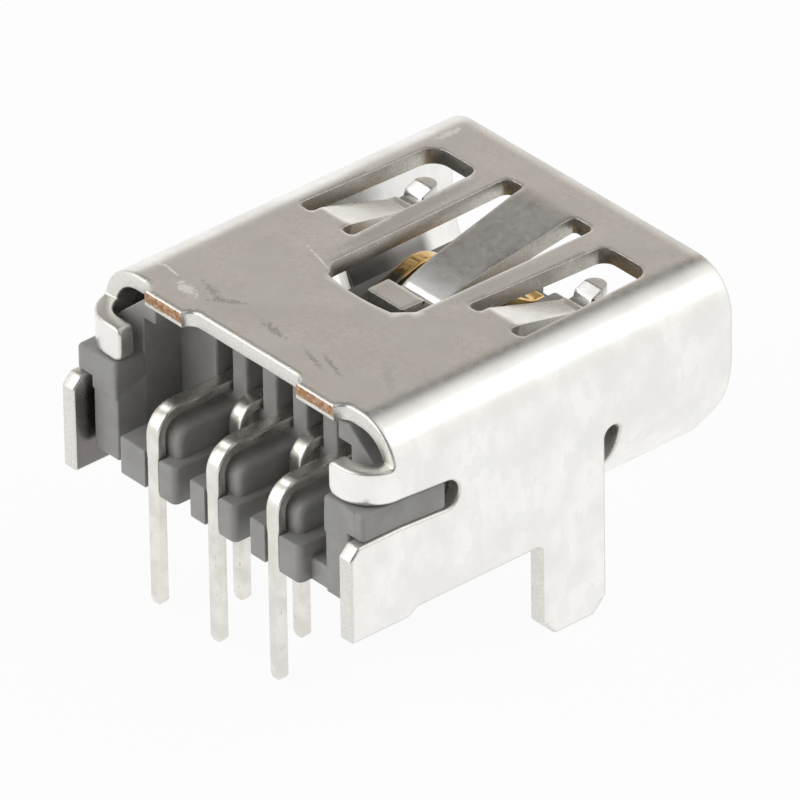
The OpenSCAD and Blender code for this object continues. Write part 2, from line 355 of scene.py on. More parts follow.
FLOAT = "NodeSocketFloat"
MOTTLE = Effect("cloudy_surface", (("Size", FLOAT, 1.0),), (("Cloud", FLOAT), ("Fine", FLOAT)), _build_mottle)
GRAIN = Effect("surface_height", (("Waves", FLOAT, 0.01), ("Grain", FLOAT, 0.002)), (("Height", FLOAT),),
               _build_grain)
STREAK_MASK = Effect("streak_mask", (("Centre", "NodeSocketVector", (0.0, 0.0, 0.0)), ("Angle", FLOAT, 0.0),
                               ("Half length", FLOAT, 0.3), ("Half width", FLOAT, 0.1),
                               ("Ragged", FLOAT, 4.0)), (("Mask", FLOAT),), _build_streak_mask)


@dataclass(frozen=True)
class Finish:
    """A finish: a material with one Principled shader. Its waves and grain roughen the surface."""

    name: str
    waves_mm: float = field(default=0.0, kw_only=True)
    grain_mm: float = field(default=0.0, kw_only=True)

    def material(self) -> bpy.types.Material:
        """The finish's material, made the first time that it is asked for.

        Returns:
            The material.
        """
        made = bpy.data.materials.get(self.name)
        if made:
            return made
        made = bpy.data.materials.new(self.name)
        made.use_nodes = True
        made.node_tree.nodes.clear()
        g = Graph(made.node_tree)
        shader = g.add("ShaderNodeBsdfPrincipled")
        out = g.add("ShaderNodeOutputMaterial")
        g.feed(out.inputs["Surface"], shader.outputs[0])
        self.dress(g, shader)
        return made

    def dress(self, g: Graph, shader: bpy.types.Node) -> None:
        """Feeds the shader; each finish has its own.

        Args:
            g: the material's graph.
            shader: the Principled shader.
        """
        raise NotImplementedError

    def bump(self, g: Graph, shader: bpy.types.Node) -> None:
        """Gives the shader the finish's waves and grain.

        Args:
            g: the material's graph.
            shader: the Principled shader.
        """
        height = GRAIN.use(g, Waves=self.waves_mm, Grain=self.grain_mm).outputs["Height"]
        bump = g.add("ShaderNodeBump", None, Strength=1.0, Distance=1.0, Height=height)
        g.feed(shader.inputs["Normal"], bump.outputs[0])


@dataclass(frozen=True)
class Streak:
    """A darker or brighter streak on the sheet, with its middle, direction and half sizes: scuffs on the
    roof, painted shade in the springs' valleys, and darker bars and leg corners.

    A depth above 0 says how dark it is, and one below 0 how bright. ragged says how broken its edge is.
    """

    x_mm: float
    y_mm: float
    angle: float
    half_length_mm: float
    half_width_mm: float
    depth: float
    z_mm: float = 3.8
    ragged: float = 4.0

    def mask(self, g: Graph) -> bpy.types.NodeSocket:
        """Where this streak darkens or brightens the sheet.

        Args:
            g: the material's graph.

        Returns:
            The mask.
        """
        wear_and_shade = STREAK_MASK.use(g, Centre=(self.x_mm, self.y_mm, self.z_mm), Angle=math.radians(self.angle),
                         Half_length=self.half_length_mm, Half_width=self.half_width_mm, Ragged=self.ragged)
        return wear_and_shade.outputs["Mask"]


@dataclass(frozen=True)
class PlatedSheet(Finish):
    """Tin plating on the folded sheet: cloudy, with flecks at the sides, painted shade on the lower inner
    flanks and in the springs' valleys, and scuffs.
    """

    name: str = "plated_sheet"
    pale: Colour = (0.94, 0.93, 0.905)
    dull: Colour = (0.83, 0.82, 0.79)
    fleck: Colour = (0.84, 0.835, 0.81)
    # Painted shade: the dark colour of the lower inner flanks behind the mouth, standing in for their shade
    # and dark reflections.
    inside: Colour = (0.21, 0.195, 0.185)
    rubbed: Colour = (0.97, 0.96, 0.93)
    # Colour of the dark streaks: scuffs on the roof, and painted shade in the springs' valleys.
    scuff_and_shade: Colour = (0.34, 0.325, 0.30)
    cloud_mm: float = 0.9
    waves_mm: float = field(default=0.012, kw_only=True)
    grain_mm: float = field(default=0.0001, kw_only=True)
    cloud_share: float = 0.7
    fleck_mm: float = 0.3
    fleck_share: float = 0.5
    fleck_stretch: Place = (1.0, 1.0, 0.55)
    fleck_edge: Point = (0.5, 0.56)
    side_facing: Point = (0.6, 0.9)
    shade_inward_mm: Point = (-0.5, -1.5)
    shade_z_mm: Point = (2.1, 1.4)
    shade_y_mm: Point = (-3.1, -2.8)
    least_rough: float = 0.24
    rough_change: float = 0.06
    worn_rough: float = 0.12
    rubbed_loss: float = 0.8
    roof_streaks: tuple[Streak, ...] = (
        Streak(3.00, 3.48, -15.0, 0.18, 0.03, -0.9),
        Streak(2.72, 3.46, 8.0, 0.22, 0.03, -0.8),
        Streak(2.05, 3.66, 10.0, 0.30, 0.12, -0.6),
        Streak(1.72, 3.36, 12.0, 0.34, 0.08, 0.5),
        Streak(1.30, 3.42, -35.0, 0.36, 0.07, 0.55),
        Streak(0.05, 3.41, 6.0, 0.34, 0.09, 0.6),
        Streak(-1.15, 3.52, 15.0, 0.40, 0.05, 0.55),
        Streak(-1.55, 3.42, 18.0, 0.44, 0.05, 0.55),
        Streak(1.32, 1.31, 15.0, 0.36, 0.025, -0.8),
        Streak(2.88, -3.05, 90.0, 0.32, 0.08, -0.5),
        Streak(-2.45, 2.95, 35.0, 0.45, 0.09, 0.3),
    )
    # Darker along the bars between the windows.
    bar_streaks: tuple[Streak, ...] = (
        Streak(1.32, -0.60, 87.0, 1.90, 0.20, 0.45, ragged=1.0),
        Streak(-1.42, -0.60, 93.0, 1.70, 0.16, 0.28, ragged=1.0),
    )
    # Painted shade in the pits of the side springs, near their tips.
    valley_shade: tuple[Streak, ...] = (
        Streak(2.18, -1.51, 0.0, 0.45, 0.085, 0.8, 3.45, 0.3),
        Streak(-2.30, -1.51, 0.0, 0.45, 0.085, 0.8, 3.45, 0.3),
    )
    # Darker at the lower corners of the leg at -X.
    leg_streaks: tuple[Streak, ...] = (
        Streak(-3.80, 0.62, 0.0, 0.3, 0.07, 0.9, -1.80, 2.0),
        Streak(-3.80, -0.62, 0.0, 0.3, 0.10, 0.9, -1.76, 2.0),
    )

    def dress(self, g: Graph, shader: bpy.types.Node) -> None:
        """Feeds the shader of the plated sheet.

        Args:
            g: the material's graph.
            shader: the Principled shader.
        """
        mottle = MOTTLE.use(g, Size=self.cloud_mm)
        cloud, fine = mottle.outputs["Cloud"], mottle.outputs["Fine"]
        spot = g.place_mm()
        facing = g.parts(g.add("ShaderNodeTexCoord").outputs["Normal"])["X"]
        colour = g.mix(g.product(cloud, self.cloud_share), self.pale, self.dull)
        colour = g.mix(g.product(self.flecks(g, spot, facing), self.fleck_share), colour, self.fleck)
        # Painted shade: the lower inner flanks take the dark inside colour.
        colour = g.mix(self.inner_flank_shade(g, spot, facing), colour, self.inside)
        rough = g.math("MULTIPLY_ADD", cloud, self.rough_change, self.least_rough)
        rough = g.math("MULTIPLY_ADD", fine, self.rough_change, rough)
        metal = g.add("ShaderNodeValue").outputs[0]
        metal.default_value = 1.0
        # Streaks mix in their colours: the roof's are scuffs, those in the valleys are painted shade, and the
        # bars and the leg corners are made darker.
        for streak in (*self.roof_streaks, *self.bar_streaks, *self.valley_shade, *self.leg_streaks):
            mask = streak.mask(g)
            wear_and_shade = g.product(mask, abs(streak.depth))
            colour = g.mix(wear_and_shade, colour, self.scuff_and_shade if streak.depth > 0.0 else self.rubbed)
            rough = g.math("MULTIPLY_ADD", mask, self.worn_rough, rough)
            if streak.depth < 0.0:
                metal = g.math("SUBTRACT", metal, g.product(wear_and_shade, self.rubbed_loss), clamp=True)
        g.feed(shader.inputs["Base Color"], colour)
        g.feed(shader.inputs["Roughness"], rough)
        g.feed(shader.inputs["Metallic"], metal)
        self.bump(g, shader)

    def flecks(self, g: Graph, spot: Value, facing: Value) -> bpy.types.NodeSocket:
        """Sharp-edged flecks on the faces that look sideways.

        Args:
            g: the material's graph.
            spot: coordinates in millimetres.
            facing: the normal's part along X.

        Returns:
            The mask.
        """
        stretched = g.vector_math("MULTIPLY", spot, self.fleck_stretch).outputs[0]
        flecks = g.span(g.noise(stretched, self.fleck_mm), *self.fleck_edge)
        side = g.span(g.math("ABSOLUTE", facing), *self.side_facing)
        return g.product(side, flecks)

    def inner_flank_shade(self, g: Graph, spot: Value, facing: Value) -> bpy.types.NodeSocket:
        """Painted shade on the lower inner faces behind the mouth, standing in for their dark reflections of
        the inside.

        Args:
            g: the material's graph.
            spot: coordinates in millimetres.
            facing: the normal's part along X.

        Returns:
            The mask.
        """
        at = g.parts(spot)
        inward = g.span(g.product(at["X"], facing), *self.shade_inward_mm)
        return g.product(inward, g.span(at["Z"], *self.shade_z_mm), g.span(at["Y"], *self.shade_y_mm))


@dataclass(frozen=True)
class BareCopper(Finish):
    """Cut face of the copper alloy sheet, with a bright burr along its lower edge."""

    name: str = "cut_copper"
    pale: Colour = (0.56, 0.39, 0.27)
    brown: Colour = (0.32, 0.17, 0.08)
    silver: Colour = (0.85, 0.83, 0.79)
    speck_mm: float = 0.09
    speck_edge: Point = (0.38, 0.62)
    rough_from: Point = (0.3, 0.7)
    rough_to: Point = (0.42, 0.6)
    grain_mm: float = field(default=0.012, kw_only=True)
    burr_top_mm: float = 3.66
    burr_blend_mm: float = 0.03
    burr_wander_mm: float = 0.12

    def dress(self, g: Graph, shader: bpy.types.Node) -> None:
        """Feeds the shader of the cut face.

        Args:
            g: the material's graph.
            shader: the Principled shader.
        """
        spot = g.place_mm()
        speck = g.noise(spot, self.speck_mm, detail=3.0, rough=0.7)
        colour = g.mix(g.span(speck, *self.speck_edge), self.brown, self.pale)
        wander = g.math("SUBTRACT", speck, NOISE_MIDDLE)
        edge = g.math("MULTIPLY_ADD", wander, self.burr_wander_mm, g.parts(spot)["Z"])
        burr = g.span(edge, self.burr_top_mm, self.burr_top_mm - self.burr_blend_mm)
        g.feed(shader.inputs["Base Color"], g.mix(burr, colour, self.silver))
        g.feed(shader.inputs["Roughness"], g.span(speck, *self.rough_from, *self.rough_to))
        g.feed(shader.inputs["Metallic"], 1.0)
        self.bump(g, shader)


@dataclass(frozen=True)
class CutEdge(Finish):
    """Cut edges of the sheet, duller and rougher than its faces."""

    pale: Colour = (0.80, 0.79, 0.755)
    dull: Colour = (0.70, 0.685, 0.65)
    least_rough: float = 0.34
    rough_change: float = 0.1
    cloud_mm: float = 0.25
    grain_mm: float = field(default=0.003, kw_only=True)

    def dress(self, g: Graph, shader: bpy.types.Node) -> None:
        """Feeds the shader of the cut edges.

        Args:
            g: the material's graph.
            shader: the Principled shader.
        """
        mottle = MOTTLE.use(g, Size=self.cloud_mm)
        rough = g.math("MULTIPLY_ADD", mottle.outputs["Cloud"], self.rough_change, self.least_rough)
        g.feed(shader.inputs["Base Color"], g.mix(mottle.outputs["Fine"], self.dull, self.pale))
        g.feed(shader.inputs["Roughness"], rough)
        g.feed(shader.inputs["Metallic"], 1.0)
        self.bump(g, shader)


PUNCHED_EDGE = CutEdge("punched_edge", (0.62, 0.595, 0.54), (0.48, 0.455, 0.41), 0.36)
PLATED_EDGE = CutEdge("plated_edge")


@dataclass(frozen=True)
class MouldedPlastic(Finish):
    """Dark grey moulded plastic, slightly mottled and with a soft sheen."""

    name: str = "grey_plastic"
    dark: Colour = (0.30, 0.297, 0.288)
    light: Colour = (0.345, 0.342, 0.333)
    cloud_mm: float = 0.5
    waves_mm: float = field(default=0.004, kw_only=True)
    grain_mm: float = field(default=0.0012, kw_only=True)
    least_rough: float = 0.40
    rough_change: float = 0.08
    specular: float = 0.6

    def dress(self, g: Graph, shader: bpy.types.Node) -> None:
        """Feeds the shader of the plastic.

        Args:
            g: the material's graph.
            shader: the Principled shader.
        """
        mottle = MOTTLE.use(g, Size=self.cloud_mm)
        rough = g.math("MULTIPLY_ADD", mottle.outputs["Fine"], self.rough_change, self.least_rough)
        g.feed(shader.inputs["Base Color"], g.mix(mottle.outputs["Cloud"], self.dark, self.light))
        g.feed(shader.inputs["Roughness"], rough)
        g.feed(shader.inputs["Specular IOR Level"], self.specular)
        self.bump(g, shader)


@dataclass(frozen=True)
class ContactStrip(Finish):
    """Contact strip: gold on the crest in the mouth, nickel behind it with painted shade, and tin with marks
    outside.
    """

    name: str = "contact_strip"
    tin: Colour = (0.84, 0.82, 0.77)
    tin_dull: Colour = (0.72, 0.70, 0.65)
    gold: Colour = (0.78, 0.52, 0.22)
    mark: Colour = (0.30, 0.29, 0.27)
    # Nickel behind the gilt crest, painted dark as the shade inside the housing.
    shaded_nickel: Colour = (0.26, 0.24, 0.215)
    gold_end_mm: float = -0.75
    shaded_nickel_end_mm: float = 2.2
    blend_mm: float = 0.1
    cloud_mm: float = 0.45
    waves_mm: float = field(default=0.006, kw_only=True)
    grain_mm: float = field(default=0.0001, kw_only=True)
    mark_mm: float = 0.14
    mark_share: float = 0.4
    mark_stretch: Place = (1.0, 1.0, 0.45)
    mark_edge: Point = (0.64, 0.74)
    mark_z_mm: Point = (1.95, 1.6)
    least_rough: float = 0.27
    rough_change: float = 0.05
    gold_polish: float = 0.5

    def dress(self, g: Graph, shader: bpy.types.Node) -> None:
        """Feeds the shader of the contact strip.

        Args:
            g: the material's graph.
            shader: the Principled shader.
        """
        spot = g.place_mm()
        at = g.parts(spot)
        mottle = MOTTLE.use(g, Size=self.cloud_mm)
        cloud, fine = mottle.outputs["Cloud"], mottle.outputs["Fine"]
        stretched = g.vector_math("MULTIPLY", spot, self.mark_stretch).outputs[0]
        marks = g.span(g.noise(stretched, self.mark_mm, detail=3.0, rough=0.65), *self.mark_edge)
        tails = g.span(at["Z"], *self.mark_z_mm)
        tin = g.mix(cloud, self.tin, self.tin_dull)
        tin = g.mix(g.product(marks, tails, self.mark_share), tin, self.mark)
        # plain is the share of nickel, darkened with painted shade.
        plain, gilt = (g.span(at["Y"], end + self.blend_mm, end - self.blend_mm)
                       for end in (self.shaded_nickel_end_mm, self.gold_end_mm))
        rough = g.math("MULTIPLY_ADD", fine, self.rough_change, self.least_rough)
        polish = g.math("MULTIPLY_ADD", gilt, -self.gold_polish, 1.0)
        g.feed(shader.inputs["Base Color"], g.mix(gilt, g.mix(plain, tin, self.shaded_nickel), self.gold))
        g.feed(shader.inputs["Roughness"], g.product(rough, polish))
        g.feed(shader.inputs["Metallic"], 1.0)
        self.bump(g, shader)


def arc(cx: float, cy: float, r: float, start: float, end: float, n: int = 12) -> list[Corner]:
    """Points of an arc, as corners with no radius.

    Args:
        cx: centre, first coordinate.
        cy: centre, second coordinate.
        r: radius.
        start: first angle in degrees.
        end: last angle in degrees.
        n: number of pieces.

    Returns:
        The points.
    """
    turns = [math.radians(start + (end - start) * i / n) for i in range(n + 1)]
    return [(cx + r * math.cos(t), cy + r * math.sin(t), 0.0) for t in turns]


def corner_points(before: Corner, at: Corner, after: Corner, n: int) -> list[Point]:
    """A corner of an outline, rounded with its own radius.

    Args:
        before: the corner before it.
        at: the corner.
        after: the corner after it.
        n: number of pieces.

    Returns:
        The points of the rounded corner.
    """
    p = Vector(at[:2])
    r = at[2]
    u = (Vector(before[:2]) - p).normalized()
    v = (Vector(after[:2]) - p).normalized()
    half = math.acos(max(-1.0, min(1.0, u.dot(v)))) / 2
    if r <= 0.0 or half > math.radians(STRAIGHT_HALF_ANGLE):
        return [(p.x, p.y)]
    centre = p + (u + v).normalized() * r / math.sin(half)
    start = p + u * r / math.tan(half) - centre
    end = p + v * r / math.tan(half) - centre
    a0 = math.atan2(start.y, start.x)
    turn = math.remainder(math.atan2(end.y, end.x) - a0, 2 * math.pi)
    turns = [a0 + turn * i / n for i in range(n + 1)]
    return [(centre.x + r * math.cos(t), centre.y + r * math.sin(t)) for t in turns]


def rounded(corners: Sequence[Corner], n: int = 6) -> list[Point]:
    """A closed outline with its corners rounded.

    Args:
        corners: each corner's two coordinates and its radius.
        n: number of pieces in each rounded corner.

    Returns:
        The outline's points.
    """
    m = len(corners)
    points: list[Point] = []
    for i, corner in enumerate(corners):
        points += corner_points(corners[i - 1], corner, corners[(i + 1) % m], n)
    return points


def box(x0: float, y0: float, x1: float, y1: float, r: float = 0.0) -> list[Point]:
    """Outline of a rectangle with its corners rounded."""
    return rounded([(x0, y0, r), (x1, y0, r), (x1, y1, r), (x0, y1, r)])


def mirrored(corners: Sequence[Corner]) -> list[Corner]:
    """Corners mirrored in the first coordinate, in reverse order."""
    return [(-x, y, r) for x, y, r in reversed(corners)]


def steps(start: float, end: float, step: float) -> list[float]:
    """Even steps between two values, both included."""
    n = max(1, round(abs(end - start) / step))
    return [start + (end - start) * i / n for i in range(n + 1)]


@dataclass(frozen=True)
class Span:
    """A range of one coordinate."""

    low: float
    high: float

    def holds(self, value: float) -> bool:
        """True for a value between the ends."""
        return self.low < value < self.high


class Look(IntEnum):
    """Numbers of the sheet's materials."""

    FACE = 0
    EDGE = 1
    WINDOW = 2
    CUT = 3


class Track:
    """A path that a strip of sheet follows, measured by its length, with the normals on its left."""

    def __init__(self, corners: Sequence[Corner], piece: float = 0.04, turn_pieces: int = 40) -> None:
        """Rounds the path's inner corners and cuts it into short pieces.

        Args:
            corners: the path's corners, each with its radius.
            piece: length of a piece in millimetres.
            turn_pieces: number of pieces in a rounded corner.
        """
        raw: list[Point] = [corners[0][:2]]
        for before, at, after in zip(corners, corners[1:], corners[2:]):
            raw += corner_points(before, at, after, turn_pieces)
        raw.append(corners[-1][:2])
        points: list[Point] = [raw[0]]
        for a, b in zip(raw, raw[1:]):
            length = math.dist(a, b)
            n = math.ceil(length / piece) if length > TINY else 0
            points += [(a[0] + (b[0] - a[0]) * k / n, a[1] + (b[1] - a[1]) * k / n) for k in range(1, n + 1)]
        self.p = np.array(points)
        step = np.diff(self.p, axis=0)
        size = np.linalg.norm(step, axis=1)
        self.s = np.concatenate([[0.0], np.cumsum(size)])
        way = step / size[:, None]
        both = np.vstack([way[:1], way[:-1] + way[1:], way[-1:]])
        both /= np.linalg.norm(both, axis=1)[:, None]
        self.n = np.stack([-both[:, 1], both[:, 0]], axis=1)

    @property
    def length(self) -> float:
        """Length of the path."""
        return float(self.s[-1])

    def at(self, s: float, depth: float) -> Point:
        """Place at a length along the path and a depth to its right.

        Args:
            s: length from the start.
            depth: distance to the right of the path.

        Returns:
            The place's two coordinates.
        """
        x, y = (float(np.interp(s, self.s, self.p[:, k])) for k in (0, 1))
        nx, ny = (float(np.interp(s, self.s, self.n[:, k])) for k in (0, 1))
        size = math.hypot(nx, ny)
        return x - nx / size * depth, y - ny / size * depth

    def length_at(self, x: float) -> float:
        """Length at which the first coordinate, which grows all along, has a value."""
        return float(np.interp(x, self.p[:, 0], self.s))


@dataclass
class Loop:
    """One closed outline of a plate: its upper and lower rims' radii and its walls' material."""

    points: list[Point]
    top: float = 0.04
    low: float = 0.04
    material: int = 0


@dataclass
class Plate:
    """A plate with rounded rims: outlines with a thickness, laid flat and then folded to their place.

    The first outline is the outer one, and the others are holes. us and vs are lines on which the plate gets
    more points, so that it can bend.
    """

    loops: list[Loop]
    thick: float
    fold: Fold
    us: list[float] = field(default_factory=list)
    vs: list[float] = field(default_factory=list)
    step: float = 0.6
    margin: float = 0.03
    rim_pieces: int = 3
    mitre: float = 0.3
    least_side: float = 0.02

    def ring(self, index: int, inset: float) -> np.ndarray:
        """One outline moved into the plate.

        Args:
            index: which outline.
            inset: how far it is moved.

        Returns:
            The points, one row each.
        """
        p = self.fine[index]
        way = np.roll(p, -1, axis=0) - p
        way /= np.linalg.norm(way, axis=1)[:, None]
        left = np.stack([-way[:, 1], way[:, 0]], axis=1)
        before = np.roll(left, 1, axis=0)
        spread = 1.0 + (left * before).sum(axis=1)
        return p + (left + before) / np.maximum(spread, self.mitre)[:, None] * inset

    def cut_side(self, a: np.ndarray, b: np.ndarray) -> list[np.ndarray]:
        """Cuts one side of an outline where it crosses the plate's lines.

        Args:
            a: the side's start.
            b: the side's end.

        Returns:
            The start and the points between, without the end.
        """
        length = float(np.linalg.norm(b - a))
        shares = [0.0]
        for axis, lines in ((0, self.us), (1, self.vs)):
            reach = b[axis] - a[axis]
            if abs(reach) > TINY:
                shares += [(line - a[axis]) / reach for line in lines]
        gap = self.least_side / length
        kept: list[float] = []
        for share in sorted(s for s in shares if s == 0.0 or gap < s < 1.0 - gap):
            if not kept or share - kept[-1] > gap:
                kept.append(share)
        full: list[float] = []
        for share, after in zip(kept, kept[1:] + [1.0]):
            n = max(1, math.ceil((after - share) * length / self.step - TINY))
            full += [share + (after - share) * k / n for k in range(n)]
        return [a + (b - a) * share for share in full]

    def refine(self) -> None:
        """Turns the outlines the right way round and cuts their sides."""
        self.fine: list[np.ndarray] = []
        for i, loop in enumerate(self.loops):
            p = np.array(loop.points, float)
            p = p[np.linalg.norm(np.roll(p, -1, axis=0) - p, axis=1) > SAME_POINT_MM]
            q = np.roll(p, -1, axis=0)
            area = float((p[:, 0] * q[:, 1] - q[:, 0] * p[:, 1]).sum())
            if (area > 0.0) != (i == 0):
                p = p[::-1]
            rows: list[np.ndarray] = []
            for a, b in zip(p, np.roll(p, -1, axis=0)):
                rows += self.cut_side(a, b)
            self.fine.append(np.array(rows))

    @staticmethod
    def inside(spots: np.ndarray, outlines: Sequence[np.ndarray]) -> np.ndarray:
        """Tells which spots lie in the plate and not in its holes.

        Args:
            spots: the spots, one row each.
            outlines: the outlines.

        Returns:
            True or False for each spot.
        """
        odd = np.zeros(len(spots), bool)
        for outline in outlines:
            for (x0, y0), (x1, y1) in zip(outline, np.roll(outline, -1, axis=0)):
                if y0 != y1:
                    level = (spots[:, 1] >= min(y0, y1)) & (spots[:, 1] < max(y0, y1))
                    odd ^= level & (x0 + (spots[:, 1] - y0) * (x1 - x0) / (y1 - y0) > spots[:, 0])
        return odd

    def cap(self, height: float, insets: list[float], firsts: list[int], verts: list[Place],
            faces: list[tuple[int, ...]]) -> None:
        """Fills the upper or the lower face.

        Args:
            height: the face's height in the plate.
            insets: how far each outline lies in at this face.
            firsts: number of each outline's first vertex at this face.
            verts: the plate's vertices so far, laid flat.
            faces: the plate's faces so far.
        """
        outlines = [self.ring(i, inset) for i, inset in enumerate(insets)]
        spots: list[Point] = []
        owner: list[int] = []
        edges: list[tuple[int, int]] = []
        for outline, first in zip(outlines, firsts):
            base, n = len(spots), len(outline)
            spots += [(float(u), float(v)) for u, v in outline]
            owner += range(first, first + n)
            edges += [(base + k, base + (k + 1) % n) for k in range(n)]
        grid = np.array([(u, v) for u in self.us for v in self.vs])
        if len(grid):
            near = [self.ring(i, inset + self.margin) for i, inset in enumerate(insets)]
            for u, v in grid[self.inside(grid, near) & self.inside(grid, outlines)]:
                owner.append(len(verts))
                verts.append((float(u), float(v), height))
                spots.append((float(u), float(v)))
        flat = [Vector(p) for p in spots]
        _, _, raw, source, _, _ = delaunay_2d_cdt(flat, edges, [], 2, FILL_GAP_MM)
        triangles = [tuple(source[k][0] for k in t) for t in raw if all(source[k] for k in t)]
        for region in self.regions(triangles, {frozenset(edge) for edge in edges}):
            areas = [abs((flat[b] - flat[a]).cross(flat[c] - flat[a])) for a, b, c in region]
            a, b, c = region[areas.index(max(areas))]
            middle = (flat[a] + flat[b] + flat[c]) / 3
            if self.inside(np.array([middle]), outlines)[0]:
                faces += [tuple(owner[k] for k in t) for t in region]

    @staticmethod
    def regions(triangles: list[tuple[int, ...]], walls: set[frozenset[int]]) -> list[list[tuple[int, ...]]]:
        """Sorts triangles into regions that the outlines keep apart.

        Args:
            triangles: the triangles.
            walls: the outlines' sides.

        Returns:
            The triangles of each region.
        """
        beside: dict[frozenset[int], list[int]] = {}
        for i, (a, b, c) in enumerate(triangles):
            for side in (frozenset((a, b)), frozenset((b, c)), frozenset((c, a))):
                if side not in walls:
                    beside.setdefault(side, []).append(i)
        near: list[list[int]] = [[] for _ in triangles]
        for pair in beside.values():
            if len(pair) == 2:
                near[pair[0]].append(pair[1])
                near[pair[1]].append(pair[0])
        free = set(range(len(triangles)))
        found: list[list[tuple[int, ...]]] = []
        while free:
            todo = [free.pop()]
            region: list[tuple[int, ...]] = []
            while todo:
                i = todo.pop()
                region.append(triangles[i])
                fresh = [k for k in near[i] if k in free]
                free.difference_update(fresh)
                todo += fresh
            found.append(region)
        return found

    def add_to(self, bm: bmesh.types.BMesh) -> None:
        """Makes the plate, folds it and adds it to a mesh.

        Args:
            bm: the mesh, in millimetres.
        """
        self.refine()
        verts: list[Place] = []
        faces: list[tuple[int, ...]] = []
        materials: list[int] = []
        tops: list[int] = []
        lows: list[int] = []
        turns = [math.pi / 2 * k / self.rim_pieces for k in range(self.rim_pieces + 1)]
        for i, loop in enumerate(self.loops):
            rim = [(loop.top * (1 - math.sin(t)), self.thick - loop.top * (1 - math.cos(t))) for t in turns]
            rim += [(loop.low * (1 - math.cos(t)), loop.low * (1 - math.sin(t))) for t in turns]
            count = len(self.fine[i])
            rings: list[int] = []
            for inset, height in rim:
                rings.append(len(verts))
                verts += [(float(u), float(v), height) for u, v in self.ring(i, inset)]
            for a, b in zip(rings, rings[1:]):
                faces += [(a + k, b + k, b + (k + 1) % count, a + (k + 1) % count) for k in range(count)]
                materials += [loop.material] * count
            tops.append(rings[0])
            lows.append(rings[-1])
        self.cap(self.thick, [loop.top for loop in self.loops], tops, verts, faces)
        self.cap(0.0, [loop.low for loop in self.loops], lows, verts, faces)
        placed = [bm.verts.new(self.fold(*v)) for v in verts]
        made = [bm.faces.new([placed[k] for k in face]) for face in faces]
        for face, material in zip(made, materials):
            face.material_index = material
        bmesh.ops.recalc_face_normals(bm, faces=made)


def along_x(x0: float) -> Fold:
    """Fold of a block whose outline lies in Y and Z, from x0 on."""
    return lambda u, v, w: (x0 + w, u, v)


def along_y(y0: float) -> Fold:
    """Fold of a block whose outline lies in X and Z, from y0 on."""
    return lambda u, v, w: (u, y0 + w, v)


def along_z(z0: float) -> Fold:
    """Fold of a block whose outline lies in X and Y, from z0 on."""
    return lambda u, v, w: (u, v, z0 + w)


@dataclass
class Piece:
    """A detailed piece, made of plates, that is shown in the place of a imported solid."""

    node: str
    slot: Slot
    finish: Finish
    obj: bpy.types.Object | None = field(default=None, init=False)

    def plates(self) -> list[Plate]:
        """The plates that the piece is made of; each piece has its own."""
        raise NotImplementedError

    def mesh_of(self, plates: Sequence[Plate], name: str) -> bpy.types.Mesh:
        """Makes one mesh of some plates.

        Args:
            plates: the plates.
            name: the mesh's name.

        Returns:
            The mesh, in metres.
        """
        mesh = bpy.data.meshes.new(name)
        bm = bmesh.new()
        for plate in plates:
            plate.add_to(bm)
        bmesh.ops.scale(bm, vec=(MM, MM, MM), verts=bm.verts)
        bm.to_mesh(mesh)
        bm.free()
        return mesh

    def mesh(self) -> bpy.types.Mesh:
        """The piece's mesh, in metres."""
        return self.mesh_of(self.plates(), self.node + "_detailed")

    def build(self) -> bpy.types.Object:
        """Makes the piece and puts it in the solid's place.

        Returns:
            The new object.
        """
        mesh = self.mesh()
        mesh.shade_smooth()
        mesh.set_sharp_from_angle(angle=math.radians(SHARP_ANGLE))
        self.obj = bpy.data.objects.new(self.node + "_detailed", mesh)
        bpy.context.scene.collection.objects.link(self.obj)
        weigh = self.obj.modifiers.new("Face weights", "WEIGHTED_NORMAL")
        weigh.keep_sharp = True
        self.paint(self.obj)
        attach(self.obj, ROOT_BODY)
        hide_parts(self.node)
        LOG.info("%s: %d faces", self.obj.name, len(mesh.polygons))
        return self.obj

    def paint(self, obj: bpy.types.Object) -> None:
        """Gives the object its finish.

        Args:
            obj: the new object.
        """
        obj.data.materials.append(self.finish.material())


